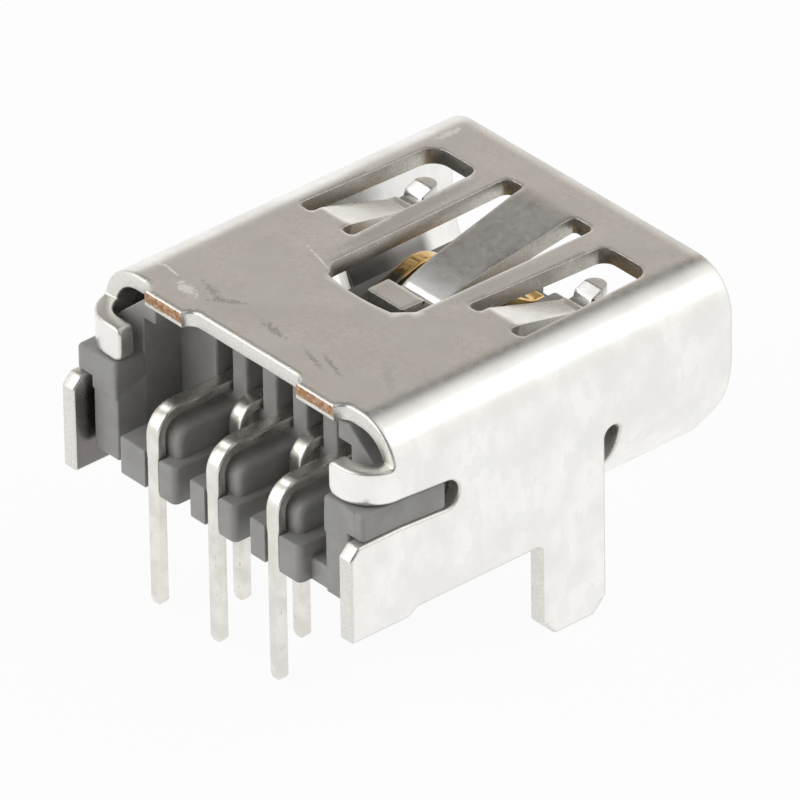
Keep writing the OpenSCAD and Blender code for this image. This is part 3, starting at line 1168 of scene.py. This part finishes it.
@dataclass
class Shell(Piece):
    """The folded sheet: roof, springs, side plates, legs, tabs, hooks and the closed mouth.

    The flat pattern has u across the sheet, from the roof's middle round the bends, and v along Y.
    """

    node: str = "shell"
    slot: Slot = Slot.SHELL
    finish: Finish = PlatedSheet()
    cut_finish: Finish = BareCopper()
    window_finish: Finish = PUNCHED_EDGE
    edge_finish: Finish = PLATED_EDGE
    half_width: float = 3.85
    roof: float = 3.87
    thick: float = 0.32
    front: float = -3.70
    rear: float = 4.03
    bend_r: float = 0.87
    flank: float = 2.18
    flank_r: float = 2.2
    flank_turn: float = 39.0
    foot_r: float = 0.5
    seam: float = 0.025
    wrap_rear: float = -1.12
    relief_y: float = -0.93
    relief_z: float = 1.70
    relief_r: float = 0.19
    hook_start: float = 3.91
    hook_r: float = 0.75
    hook_reach: tuple[float, float] = (0.40, 0.28)
    hook_low: float = 2.44
    hook_root: float = 2.46
    hook_high: float = 3.12
    hook_above: float = 2.2
    hook_margin: float = 0.1
    hook_blend: float = 0.15
    slot_y: float = 2.87
    slot_z: float = 2.10
    slot_r: float = 0.28
    low_edge: float = 0.13
    tab_front: float = 3.756
    tab_heel: float = 3.556
    tab_rear: float = 5.056
    tab_top: float = 1.89
    tab_cut: float = 0.2
    leg_half: float = 0.74
    leg_depth: float = 1.79
    leg_cut: float = 0.3
    corner_r: float = 0.07
    stub_span: Span = Span(1.28, 3.78)
    stub_y: float = 4.27
    stub_r: float = 0.24
    stub_face: float = 4.235
    stub_above: float = 3.5
    window_shift: float = -0.06
    window_rim: float = 0.014
    centre_valley: float = 0.69
    centre_crest: float = 0.41
    centre_end: float = 0.94
    centre_across: Span = Span(-0.8, 0.8)
    centre_along: Span = Span(-2.86, 1.1)
    side_root_across: Span = Span(1.72, 2.72)
    side_tip_across: Span = Span(1.88, 2.6)
    side_tip_start: float = -1.6
    side_along: Span = Span(-2.15, 0.42)
    coining: float = 0.55
    coining_start: float = -1.15
    coining_blend: float = 0.25
    plain_rim_across: Span = Span(1.8, 2.65)
    plain_rim_along: Span = Span(-2.12, 0.17)

    def __post_init__(self) -> None:
        """Works out the paths that the sheet and its springs follow."""
        bend_x = self.half_width - self.bend_r
        bend_z = self.roof - self.bend_r
        turn = math.radians(self.flank_turn)
        flank_x = self.half_width - self.flank_r
        run = (self.flank + (self.foot_r - self.flank_r) * math.sin(turn) - self.foot_r) / math.cos(turn)
        foot_x = flank_x + (self.flank_r - self.foot_r) * math.cos(turn) - run * math.sin(turn)
        bend = arc(bend_x, bend_z, self.bend_r, 90.0, 0.0, 48)
        flank = arc(flank_x, self.flank, self.flank_r, 0.0, -self.flank_turn, 48)
        foot = arc(foot_x, self.foot_r, self.foot_r, -self.flank_turn, -90.0, 30)
        self.side_track = Track([(0.0, self.roof, 0.0), *bend, (self.half_width, -2.2, 0.0)])
        self.wrap_track = Track([(0.0, self.roof, 0.0), *bend, *flank, *foot, (self.seam, 0.0, 0.0)])
        self.u_bend = bend_x
        self.u_zero = bend_x + math.pi / 2 * self.bend_r + bend_z
        self.u_run = self.u_zero - self.flank + self.flank_r * turn
        self.u_foot = self.u_run + run
        self.u_floor = self.u_foot + self.foot_r * (math.pi / 2 - turn)
        top, crest = self.roof, self.roof - self.centre_crest
        self.centre_track = Track([(-3.0, top, 0.0), (-2.75, top, 2.0), (-0.5, top - 0.44, 7.0),
                                   (0.04, top - 0.625, 0.2), (0.15, top - self.centre_valley, 0.04),
                                   (0.44, crest, 0.10), (self.centre_end, crest, 0.0)])
        self.side_spring_track = Track([(-2.2, 3.66, 0.0), (-1.86, 3.66, 0.05), (-1.60, 3.55, 0.03),
                                        (-1.58, 3.44, 0.01), (-1.47, 3.43, 0.03), (-1.40, 3.485, 0.03),
                                        (-1.26, 3.475, 0.1), (0.2, top, 0.5), (0.6, top, 0.0)], 0.02)

    def fold(self, u: float, v: float, w: float) -> Place:
        """Folds a point of the flat pattern to its place.

        Args:
            u: distance across the sheet from the roof's middle.
            v: distance along the sheet.
            w: height in the sheet, from its inner face.

        Returns:
            The place.
        """
        side = 1.0 if u >= 0.0 else -1.0
        a = abs(u)
        wrap_end = self.wrap_rear + self.relief_r
        hook_top = self.hook_high + self.hook_margin
        depth = self.thick - w
        if a < self.u_bend:
            return self.fold_roof(u, v, depth)
        x, z = self.side_track.at(a, depth)
        y = v
        if a > self.u_zero - self.flank and v < wrap_end:
            share = min(1.0, (wrap_end - v) / self.relief_r)
            wx, wz = self.wrap_track.at(a, depth)
            x += (wx - x) * share
            z += (wz - z) * share
        elif v > self.hook_start and a > self.u_zero - hook_top and z > self.hook_above:
            turn = min((v - self.hook_start) / self.hook_r, math.pi / 2)
            run = max(0.0, v - self.hook_start - self.hook_r * math.pi / 2)
            share = min(1.0, (v - self.hook_start) / self.hook_blend,
                        (a - self.u_zero + hook_top) / self.hook_margin)
            hook_x = self.half_width - self.hook_r + (self.hook_r - depth) * math.cos(turn) - run
            y += (self.hook_start + (self.hook_r - depth) * math.sin(turn) - v) * share
            x += (hook_x - x) * share
            z += (self.u_zero - a - z) * share
        return side * x, y, z

    def fold_roof(self, u: float, v: float, depth: float) -> Place:
        """Bends the springs of the roof down, and leaves the rest of it flat.

        Args:
            u: distance across the roof from its middle.
            v: distance along the roof.
            depth: depth in the sheet, from its outer face.

        Returns:
            The place.
        """
        track = None
        across = abs(u - self.window_shift)
        side_across = self.side_root_across if v > self.side_tip_start else self.side_tip_across
        if self.centre_across.holds(u) and self.centre_along.holds(v):
            track = self.centre_track
        elif side_across.holds(across) and self.side_along.holds(v):
            track = self.side_spring_track
            pressed = min(1.0, max(0.0, (self.coining_start - v) / self.coining_blend))
            depth *= 1.0 - self.coining * pressed
        if track is None:
            return u, v, self.roof - depth
        y, z = track.at(track.length_at(v), depth)
        return u, y, z

    def half_outline(self, reach: float) -> list[Corner]:
        """Outline of one half of the flat pattern, from the roof's rear edge to the mouth.

        Args:
            reach: how far the hook runs on past its bend.

        Returns:
            The corners.
        """
        zero = self.u_zero
        low = zero - self.low_edge
        hook_high, hook_low = zero - self.hook_high, zero - self.hook_low
        hook_end = self.hook_start + self.hook_r * math.pi / 2 + reach
        tab_top, tab_rear, r = self.tab_top, self.tab_rear, self.corner_r
        leg_side, leg_tip = self.leg_half - self.leg_cut, self.leg_depth - self.leg_cut
        turns = [math.radians(t) for t in (0, 12, 24, 36, 48, 60, 72, 82.8)]
        stub = [(self.stub_span.low + self.stub_r * math.sin(t), self.stub_y - self.stub_r * math.cos(t), 0.0)
                for t in turns]
        stub += [(self.stub_span.high - x + self.stub_r, y, 0.0) for x, y, _ in reversed(stub)]
        hook = [(hook_high, self.rear, 0.08), (hook_high, hook_end, 0.14), (hook_low, hook_end, 0.19),
                (zero - self.hook_root, self.hook_start, 0.0)]
        slot = [(zero - z, y, 0.0) for y, z, _ in arc(self.slot_y, self.slot_z, self.slot_r, 88.0, 272.0, 14)]
        tab = [(zero - tab_top, self.hook_start, 0.0), (zero - tab_top, tab_rear - self.tab_cut, r),
               (zero - (tab_top - self.tab_cut), tab_rear, r), (zero, tab_rear, r), (zero, self.tab_front, r),
               (low, self.tab_heel, r)]
        leg = [(low, self.leg_half, 0.12), (zero + leg_tip, self.leg_half, r),
               (zero + self.leg_depth, leg_side, r), (zero + self.leg_depth, -leg_side, r),
               (zero + leg_tip, -self.leg_half, r)]
        relief = [(zero - z, y, 0.0)
                  for y, z, _ in arc(self.relief_y, self.relief_z, self.relief_r, 0.0, 180.0, 12)]
        last = self.wrap_track.length
        return [*stub, *hook, *slot, *tab, *leg, *relief, (last, self.wrap_rear, r), (last, self.front, r)]

    def side_windows(self) -> list[Loop]:
        """Gaps round the side springs, which end in a narrow half-round tip.

        Returns:
            The outlines.
        """
        rear, root, waist, neck, tip_y, front = 0.42, 0.18, -1.25, -1.48, -1.87, -2.64
        tip_x, tip_r = 2.24, 0.225
        tip = arc(tip_x, tip_y, tip_r, 0.0, -180.0, 16)
        gap = [(1.525, rear, 0.10), (1.67, front, 0.25), (2.84, front, 0.34), (2.955, rear, 0.12),
               (2.60, rear, 0.10), (2.60, root, 0.0), (2.51, waist, 0.0), (2.465, neck, 0.0), *tip,
               (tip_x - tip_r, neck, 0.0), (1.97, waist, 0.0), (1.83, root, 0.0), (1.83, rear, 0.10)]
        placed = [[(side * x + self.window_shift, y, r) for x, y, r in gap] for side in (1.0, -1.0)]
        return [Loop(rounded(corners), self.window_rim, self.window_rim, Look.WINDOW) for corners in placed]

    def centre_window(self) -> Loop:
        """Gap round the centre spring, with a bowed rear edge.

        Returns:
            The outline.
        """
        rear, side_rear, knee, front = 1.62, 1.22, -2.60, -2.86
        bow_r, bow_turn = 4.4, 10.87
        bow = arc(self.window_shift, rear - bow_r, bow_r, 90.0 + bow_turn, 90.0 - bow_turn, 10)
        strip = [(0.67, front, 0.10), (0.665, -2.70, 0.0), (0.48, 0.20, 0.0), (0.47, self.centre_end, 0.05)]
        gap = [*bow, (1.04, side_rear, 0.1), (1.09, knee, 0.0), (1.09, front, 0.18), *strip, *mirrored(strip),
               (-1.21, front, 0.18), (-1.21, knee, 0.0), (-1.16, side_rear, 0.1)]
        return Loop(rounded(gap), self.window_rim, self.window_rim, Look.WINDOW)

    def lines_across(self) -> list[float]:
        """Values of u on which the sheet can bend, close together in the bends.

        Returns:
            The values, from the left to the right.
        """
        zero, bend, flank = self.u_zero, self.u_bend, self.u_zero - self.flank
        half = steps(0.05, bend, 0.1) + steps(bend, zero - 3.0, 0.1)[1:]
        half += steps(zero - 2.9, flank, 0.35) + steps(flank, self.u_run, 0.11)[1:]
        half += steps(self.u_run, self.u_foot, 0.26)[1:] + steps(self.u_foot, self.u_floor, 0.06)[1:]
        half += steps(self.u_floor, self.wrap_track.length, 0.4)[1:]
        return [-u for u in reversed(half)] + half

    def lines_along(self) -> list[float]:
        """Values of v on which the springs and the hooks can bend.

        Returns:
            The values, from the mouth to the rear.
        """
        hook_bend = self.hook_start + self.hook_r * math.pi / 2
        spans = ((self.front, -2.96, 0.25), (-2.90, -2.0, 0.07), (-1.96, -1.2, 0.02), (-1.13, -0.1, 0.07),
                 (-0.07, 0.9, 0.03), (1.1, 3.80, 0.3), (self.hook_start, hook_bend, 0.1))
        return [v for span in spans for v in steps(*span)] + [5.2, 5.32]

    def plates(self) -> list[Plate]:
        """The folded sheet.

        Returns:
            The plates.
        """
        right = self.half_outline(self.hook_reach[0])
        left = mirrored(self.half_outline(self.hook_reach[1]))
        outer = Loop(rounded([*right, *left]), top=0.05, low=0.04, material=Look.EDGE)
        loops = [outer, *self.side_windows(), self.centre_window()]
        return [Plate(loops, self.thick, self.fold, self.lines_across(), self.lines_along())]

    def paint(self, obj: bpy.types.Object) -> None:
        """Gives the sheet its finishes and leaves the two stubs' cut faces bare.

        Args:
            obj: the new object.
        """
        for finish in (self.finish, self.edge_finish, self.window_finish, self.cut_finish):
            obj.data.materials.append(finish.material())
        for face in obj.data.polygons:
            x, y, z = face.center / MM
            across = abs(x - self.window_shift)
            if y > self.stub_face and abs(face.normal.y) > 0.5 and z > self.stub_above:
                face.material_index = Look.CUT
            elif (face.material_index == Look.WINDOW and self.plain_rim_across.holds(across)
                  and self.plain_rim_along.holds(y)):
                face.material_index = Look.EDGE


@dataclass
class Housing(Piece):
    """The grey moulding: rear wall with its slots, posts, comb, lumps, tongue and cavity floor.

    Its lumps are joined. offset keeps faces of two lumps from lying in one plane, which would leave holes.
    """

    node: str = "housing"
    slot: Slot = Slot.HOUSING
    finish: Finish = MouldedPlastic()
    pitch: float = PITCH_MM
    edge: float = 3.51
    top: float = 3.53
    wall: float = 3.25
    cavity: float = 1.9
    groove_z: float = 1.88
    side_rear: float = 4.08
    side_in: float = 2.75
    low_edge: float = 0.13
    block_half: float = 3.2
    rib_half: float = 2.9
    slot_half: float = 0.2
    slot_front: float = 2.35
    lug_in: float = 2.42
    lug_low: float = 3.12
    comb_low: float = 0.43
    comb_top: float = 1.2
    comb_rear: float = 4.92
    comb_ends: Span = Span(-2.33, 2.476)
    notch_half: float = 0.19
    notch_front: float = 4.68
    pillow_rear: float = 4.66
    pillow_low: float = 0.9
    pillow_top: float = 1.76
    pillow_half: float = 0.45
    post_front: float = 3.5
    post_rear: float = 4.74
    post_face: float = 3.6
    boss_half: float = 0.2
    tongue_front: float = -2.9
    tongue_rear: float = 2.0
    tongue_half: float = 2.3
    tongue_low: float = 1.28
    tongue_rim: float = 0.03
    rib_top: float = 2.14
    rib_inset: float = 0.01
    floor_front: float = -0.7
    offset: float = 0.004
    weld_mm: float = 0.0004
    sliver_mm: float = 0.0002

    def wall_plates(self) -> list[Plate]:
        """The block behind the cavity, with the slots over the contacts, and the side walls.

        Returns:
            The plates.
        """
        half, lap = self.rib_half, 0.02
        low_outline = box(-self.block_half, self.low_edge, self.block_half, self.groove_z + lap, 0.04)
        low = Plate([Loop(low_outline)], self.wall - self.cavity - self.offset, along_y(self.cavity))
        front = self.cavity + self.offset
        corners: list[Corner] = [(-half, front, 0.0), (half, front, 0.0), (half, self.wall, 0.0)]
        for i in (2, 1, 0, -1, -2):
            right, left = i * self.pitch + self.slot_half, i * self.pitch - self.slot_half
            corners += [(right, self.wall, 0.08), (right, self.slot_front, 0.03),
                        (left, self.slot_front, 0.03), (left, self.wall, 0.08)]
        corners.append((-half, self.wall, 0.0))
        rib_height = self.top - self.offset - self.groove_z
        ribs = Plate([Loop(rounded(corners), top=0.03, low=0.0)], rib_height, along_z(self.groove_z))
        side_low = self.low_edge + 0.006
        section = [(self.side_in, side_low, 0.05), (self.edge, side_low, 0.05),
                   (self.edge, self.top - 0.67, 0.05), (self.edge - 0.79, self.top, 0.05),
                   (self.lug_in, self.top, 0.05), (self.lug_in, self.lug_low, 0.05),
                   (self.side_in, self.lug_low, 0.0)]
        side_front = self.cavity + 2 * self.offset
        side_depth = self.side_rear - self.cavity - 2 * self.offset
        sides = [Plate([Loop(rounded(s), top=0.04, low=0.03)], side_depth, along_y(side_front))
                 for s in (section, mirrored(section))]
        return [low, ribs, *sides]

    def post_plates(self) -> list[Plate]:
        """The posts under the hooks, whose heads fill the slots in the sheet, and the ledge by one post.

        Returns:
            The plates.
        """
        front, rear, face = self.post_front, self.post_rear, self.post_face
        inner = self.side_in + self.offset
        head = rounded([(inner, front, 0.0), (inner, rear, 0.09), (face, rear, 0.0), (face, front, 0.0)])
        boss = rounded([(2.84, 1.80, 0.09), (3.91, 1.87, 0.0), (4.737, 1.88, 0.09), (4.737, 2.417, 0.09),
                        (3.91, 2.417, 0.0), (2.84, 2.36, 0.09)])
        neck = box(inner + self.offset, 1.66, 3.42, 2.2, 0.06)
        foot = box(inner + 2 * self.offset, 0.427, 3.415, 1.9, 0.05)
        ledge = box(-2.9, 0.434, -2.25, 0.9, 0.06)
        ledge_front, ledge_depth, neck_depth, foot_depth = 3.1, 1.56, 1.235, 1.196
        head_low, head_height = 1.95, 0.47
        plates = [Plate([Loop(ledge, top=0.05, low=0.02)], ledge_depth, along_y(ledge_front))]
        for side in (1.0, -1.0):
            boss_rims = (0.08, 0.0) if side > 0.0 else (0.0, 0.08)
            boss_start = face * side - self.boss_half
            plates += [
                Plate([Loop([(side * x, y) for x, y in head], top=0.08, low=0.0)], head_height,
                      along_z(head_low)),
                Plate([Loop(boss, *boss_rims)], 2 * self.boss_half, along_x(boss_start)),
                Plate([Loop([(side * x, z) for x, z in neck], top=0.05, low=0.02)], neck_depth,
                      along_y(front)),
                Plate([Loop([(side * x, z) for x, z in foot], top=0.04, low=0.02)], foot_depth,
                      along_y(front)),
            ]
        return plates

    def comb_plates(self) -> list[Plate]:
        """The guide blocks round the rear tails, and the pillow that lies in each rear contact's bend.

        Returns:
            The plates.
        """
        reach, outer, notch = self.pitch - self.notch_half, 2 * self.pitch, self.notch_half
        front, rear = self.wall - 0.5, self.comb_rear
        blocks = ((outer - reach, self.comb_ends.high, outer), (-reach, reach, 0.0),
                  (self.comb_ends.low, reach - outer, -outer))
        pillow_front = self.wall - 0.3
        pillow = [(pillow_front, self.pillow_low, 0.0), (self.pillow_rear, self.pillow_low, 0.0),
                  (self.pillow_rear, self.pillow_top, 0.26), (pillow_front, self.pillow_top, 0.0)]
        plates: list[Plate] = []
        for x0, x1, tail in blocks:
            corners = [(x0, front, 0.0), (x0, rear, 0.14), (tail - notch, rear, 0.0),
                       (tail - notch, self.notch_front, 0.0), (tail + notch, self.notch_front, 0.0),
                       (tail + notch, rear, 0.0), (x1, rear, 0.06), (x1, front, 0.0)]
            plates.append(Plate([Loop(rounded(corners), top=0.05, low=0.05)], self.comb_top - self.comb_low,
                                along_z(self.comb_low)))
            plates.append(Plate([Loop(rounded(pillow, 10), top=0.13, low=0.13)], 2 * self.pillow_half,
                                along_x(tail - self.pillow_half), rim_pieces=6))
        return plates

    def front_plates(self) -> list[Plate]:
        """The tongue with its ribs between the contacts, and the cavity's floor.

        Returns:
            The plates.
        """
        front, rear, low, half = self.tongue_front, self.tongue_rear, self.tongue_low, self.tongue_half
        tongue = [(front, low, 0.15), (front, self.groove_z, 0.0),
                  (rear, self.groove_z, 0.0), (rear, low, 0.0)]
        plates = [Plate([Loop(rounded(tongue), self.tongue_rim, self.tongue_rim)], 2 * half, along_x(-half))]
        grooves = [i * self.pitch + s * self.notch_half for i in range(-2, 3) for s in (-1, 1)]
        walls = [-half, *grooves, half]
        rib_front, rib_rear, rib_low = front + self.rib_inset, rear - self.rib_inset, self.groove_z - 0.1
        rib = [(rib_front, rib_low, 0.0), (rib_front, self.rib_top, 0.15), (rib_rear, self.rib_top, 0.0),
               (rib_rear, rib_low, 0.0)]
        for x0, x1 in zip(walls[::2], walls[1::2]):
            plates.append(Plate([Loop(rounded(rib), self.tongue_rim, self.tongue_rim)], x1 - x0, along_x(x0)))
        side = self.edge - 0.003
        flank = arc(1.65, 2.18, 1.91, -30.9, -39.0, 4)
        foot = arc(2.477, 0.5, 0.21, -39.0, -90.0, 5)
        bowl = [(side, 0.0, 0.03), (side, 1.2, 0.03), *flank, *foot]
        floor = [*bowl, *mirrored(bowl)]
        floor_loop = Loop(rounded(floor), self.tongue_rim, self.tongue_rim)
        plates.append(Plate([floor_loop], rear - self.floor_front, along_y(self.floor_front)))
        return plates

    def plates(self) -> list[Plate]:
        """All plates of the moulding."""
        return self.wall_plates() + self.post_plates() + self.comb_plates() + self.front_plates()

    def mesh(self) -> bpy.types.Mesh:
        """Joins the plates to one moulding.

        Returns:
            The mesh, in metres.
        """
        first, *others = [bpy.data.objects.new(f"lump_{i}", self.mesh_of([plate], f"lump_{i}"))
                          for i, plate in enumerate(self.plates())]
        lumps = bpy.data.collections.new("lumps")
        for other in others:
            lumps.objects.link(other)
        bpy.context.scene.collection.children.link(lumps)
        bpy.context.scene.collection.objects.link(first)
        join = first.modifiers.new("Join", "BOOLEAN")
        join.operation = "UNION"
        join.solver = "EXACT"
        join.operand_type = "COLLECTION"
        join.collection = lumps
        mesh = bpy.data.meshes.new_from_object(first.evaluated_get(bpy.context.evaluated_depsgraph_get()))
        for lump in (first, *others):
            bpy.data.objects.remove(lump)
        bpy.data.collections.remove(lumps)
        bm = bmesh.new()
        bm.from_mesh(mesh)
        bmesh.ops.remove_doubles(bm, verts=bm.verts, dist=self.weld_mm * MM)
        bmesh.ops.dissolve_degenerate(bm, edges=bm.edges, dist=self.sliver_mm * MM)
        bm.to_mesh(mesh)
        bm.free()
        return mesh


@dataclass
class Contact(Piece):
    """One bent strip: tail, bend, run to the front and sprung end.

    A row holds its tails' place along Y, the radius of the bend and the depth below the board's top.
    """

    number: int = 1
    pitch: float = PITCH_MM
    width: float = 0.32
    tail_width: float = 0.29
    thick: float = 0.20
    tip_z: float = 2.12
    crest_z: float = 2.75
    run_z: float = 2.10
    rear_row: Place = (4.91, 0.55, 1.86)
    front_row: Place = (3.71, 0.45, 1.91)
    neck_length: float = 1.2
    taper: float = 0.1
    tail_cut: float = 0.07
    rim: float = 0.035

    def plates(self) -> list[Plate]:
        """The strip, folded along its path.

        Returns:
            The plates.
        """
        y, r, depth = self.rear_row if self.number % 2 == 1 else self.front_row
        track = Track([(-2.62, self.tip_z, 0.0), (-2.35, self.tip_z, 0.3), (-1.35, self.crest_z, 0.7),
                       (0.7, self.run_z, 1.5), (y, self.run_z, r), (y, -depth, 0.0)])
        middle = (CONTACTS + 1) // 2
        x0 = (self.number - middle) * self.pitch
        end = track.length
        neck = end - depth - self.neck_length
        wide, narrow = self.width / 2, self.tail_width / 2
        half = [(wide, 0.0, 0.04), (wide, neck, 0.0), (narrow, neck + self.taper, 0.0),
                (narrow, end - self.taper, 0.0), (narrow - self.tail_cut, end, 0.045)]

        def fold(u: float, v: float, w: float) -> Place:
            """Folds a point of the flat strip to its place."""
            along, z = track.at(v, self.thick - w)
            return x0 + u, along, z

        loop = Loop(rounded([*half, *mirrored(half)]), self.rim, self.rim)
        return [Plate([loop], self.thick, fold, [-0.06, 0.06], steps(0.07, end - 0.1, 0.07))]


@dataclass(frozen=True)
class Backdrop(Finish):
    """White floor: it shows white to the camera and in the metal, and keeps the socket's soft shadow."""

    name: str = "white_floor"
    colour: Colour = (0.90, 0.90, 0.895)
    white: Colour = (1.0, 1.0, 1.0)
    white_share: float = 0.94
    rough: float = 0.9

    def dress(self, g: Graph, shader: bpy.types.Node) -> None:
        """Feeds the floor's shader and mixes in plain white for the camera and for reflections.

        Args:
            g: the material's graph.
            shader: the Principled shader.
        """
        g.feed(shader.inputs["Base Color"], self.colour)
        g.feed(shader.inputs["Roughness"], self.rough)
        g.feed(shader.inputs["Specular IOR Level"], 0.0)
        path = g.add("ShaderNodeLightPath")
        seen = g.math("MAXIMUM", path.outputs["Is Camera Ray"], path.outputs["Is Glossy Ray"])
        seen = g.math("MAXIMUM", seen, path.outputs["Is Transmission Ray"])
        white = g.add("ShaderNodeEmission", None, Color=self.white, Strength=1.0)
        mixer = g.add("ShaderNodeMixShader")
        g.feed(mixer.inputs[0], g.math("MULTIPLY", seen, self.white_share))
        g.feed(mixer.inputs[1], shader.outputs[0])
        g.feed(mixer.inputs[2], white.outputs[0])
        out = next(n for n in g.tree.nodes if n.type == "OUTPUT_MATERIAL")
        g.feed(out.inputs["Surface"], mixer.outputs[0])


@dataclass(frozen=True)
class Softbox:
    """A square lamp that looks at the socket from a direction."""

    name: str
    direction: Place
    size_mm: float
    radiance: float
    colour: Colour = (1.0, 1.0, 1.0)
    distance_mm: float = 150.0

    def build(self) -> bpy.types.Object:
        """Adds the lamp.

        Returns:
            The lamp's object.
        """
        data = bpy.data.lights.new(self.name, "AREA")
        data.shape = "SQUARE"
        data.size = self.size_mm * MM
        data.energy = self.radiance * math.pi * (self.size_mm * MM) ** 2
        data.color = self.colour
        lamp = bpy.data.objects.new(self.name, data)
        bpy.context.scene.collection.objects.link(lamp)
        away = Vector(self.direction).normalized()
        lamp.location = away * self.distance_mm * MM
        lamp.rotation_euler = away.to_track_quat("Z", "Y").to_euler()
        return lamp


@dataclass(frozen=True)
class Glow:
    """A side of the sky with a colour of its own, which fades out between two nearnesses to its direction."""

    direction: Place
    far: float
    near: float
    colour: Colour

    def over(self, g: Graph, way: Value, sky: Value) -> bpy.types.NodeSocket:
        """Lays the glow over the sky.

        Args:
            g: the world's graph.
            way: direction of the ray.
            sky: the sky's colour so far.

        Returns:
            The new colour.
        """
        nearness = g.vector_math("DOT_PRODUCT", way, self.direction).outputs["Value"]
        return g.mix(g.span(nearness, self.far, self.near), sky, self.colour)


@dataclass
class Studio:
    """White floor, a sky that is bright low down and grey above, and the lamps."""

    floor_mm: float = -1.912
    floor_size_mm: float = 3000.0
    floor_squares: int = 8
    horizon: Colour = (1.0, 0.99, 0.975)
    middle: Colour = (0.40, 0.355, 0.305)
    top: Colour = (0.13, 0.13, 0.13)
    white: Colour = (1.0, 1.0, 1.0)
    middle_band: Point = (0.34, 0.50)
    top_band: Point = (0.58, 0.70)
    glows: tuple[Glow, ...] = (
        Glow((0.35, 0.94, 0.0), 0.45, 0.85, (1.0, 0.995, 0.985)),
        Glow((-0.52, -0.56, 0.65), 0.5, 0.95, (1.0, 0.995, 0.98)),
        Glow((-0.76, 0.64, 0.10), 0.55, 0.85, (0.14, 0.135, 0.13)),
    )
    lamps: tuple[Softbox, ...] = (
        Softbox("right_softbox", (-0.52, -0.56, 0.65), 60.0, 1.25),
        Softbox("left_softbox", (0.62, 0.12, 0.80), 45.0, 2.4),
        Softbox("front_softbox", (0.35, 0.80, 0.50), 130.0, 1.3),
    )

    def build(self) -> None:
        """Adds the floor, the world and the lamps."""
        self.build_floor()
        self.build_world()
        for lamp in self.lamps:
            lamp.build()

    def build_floor(self) -> None:
        """Adds the floor under the tails."""
        half = self.floor_size_mm / 2 * MM
        mesh = bpy.data.meshes.new("floor")
        bm = bmesh.new()
        bmesh.ops.create_grid(bm, x_segments=self.floor_squares, y_segments=self.floor_squares, size=half)
        bm.to_mesh(mesh)
        bm.free()
        floor = bpy.data.objects.new("floor", mesh)
        floor.location.z = self.floor_mm * MM
        bpy.context.scene.collection.objects.link(floor)
        mesh.materials.append(Backdrop().material())

    def build_world(self) -> None:
        """Builds the sky: bright near the horizon, grey above, and plain white to the camera."""
        world = bpy.data.worlds.new("studio")
        bpy.context.scene.world = world
        world.use_nodes = True
        world.node_tree.nodes.clear()
        g = Graph(world.node_tree)
        way = g.add("ShaderNodeTexCoord").outputs["Generated"]
        up = g.parts(way)["Z"]
        sky = g.mix(g.span(up, *self.middle_band), self.horizon, self.middle)
        sky = g.mix(g.span(up, *self.top_band), sky, self.top)
        for glow in self.glows:
            sky = glow.over(g, way, sky)
        path = g.add("ShaderNodeLightPath").outputs["Is Camera Ray"]
        ground = g.add("ShaderNodeBackground", None, Color=g.mix(path, sky, self.white), Strength=1.0)
        out = g.add("ShaderNodeOutputWorld")
        g.feed(out.inputs["Surface"], ground.outputs[0])


@dataclass
class Camera:
    """The camera of the photograph: seen from behind, from the right and above."""

    azimuth: float = 229.658
    elevation: float = 32.497
    roll: float = -0.957
    distance_mm: float = 256.04
    aim_mm: Place = (1.085, -0.30, 0.36)
    focal_px: float = 14640.39
    frame_px: float = 800.0
    sensor_mm: float = 36.0
    clip_m: Point = (0.01, 10.0)

    def build(self) -> bpy.types.Object:
        """Adds the camera and makes it the scene's camera.

        Returns:
            The camera's object.
        """
        a, e, r = (math.radians(v) for v in (self.azimuth, self.elevation, self.roll))
        back = Vector((math.sin(a) * math.cos(e), -math.cos(a) * math.cos(e), math.sin(e)))
        right = Vector((math.cos(a), math.sin(a), 0.0))
        up = back.cross(right)
        across = right * math.cos(r) + up * math.sin(r)
        above = up * math.cos(r) - right * math.sin(r)
        data = bpy.data.cameras.new("photo_view")
        data.sensor_width = self.sensor_mm
        data.lens = self.focal_px / self.frame_px * self.sensor_mm
        data.clip_start, data.clip_end = self.clip_m
        camera = bpy.data.objects.new("photo_view", data)
        turn = Matrix((across, above, back)).transposed().to_4x4()
        place = (back * self.distance_mm + Vector(self.aim_mm)) * MM
        camera.matrix_world = Matrix.Translation(place) @ turn
        bpy.context.scene.collection.objects.link(camera)
        bpy.context.scene.camera = camera
        return camera


def main() -> None:
    """Builds the studio, the camera and every piece of the socket."""
    logging.basicConfig(level=logging.INFO, format="%(name)s: %(message)s")
    bpy.context.scene.view_settings.view_transform = "Standard"
    Studio().build()
    Camera().build()
    Shell().build()
    Housing().build()
    for number in range(1, CONTACTS + 1):
        Contact(f"contact_{number}", Slot.CONTACT, ContactStrip(), number).build()


if __name__ == "__main__":
    main()
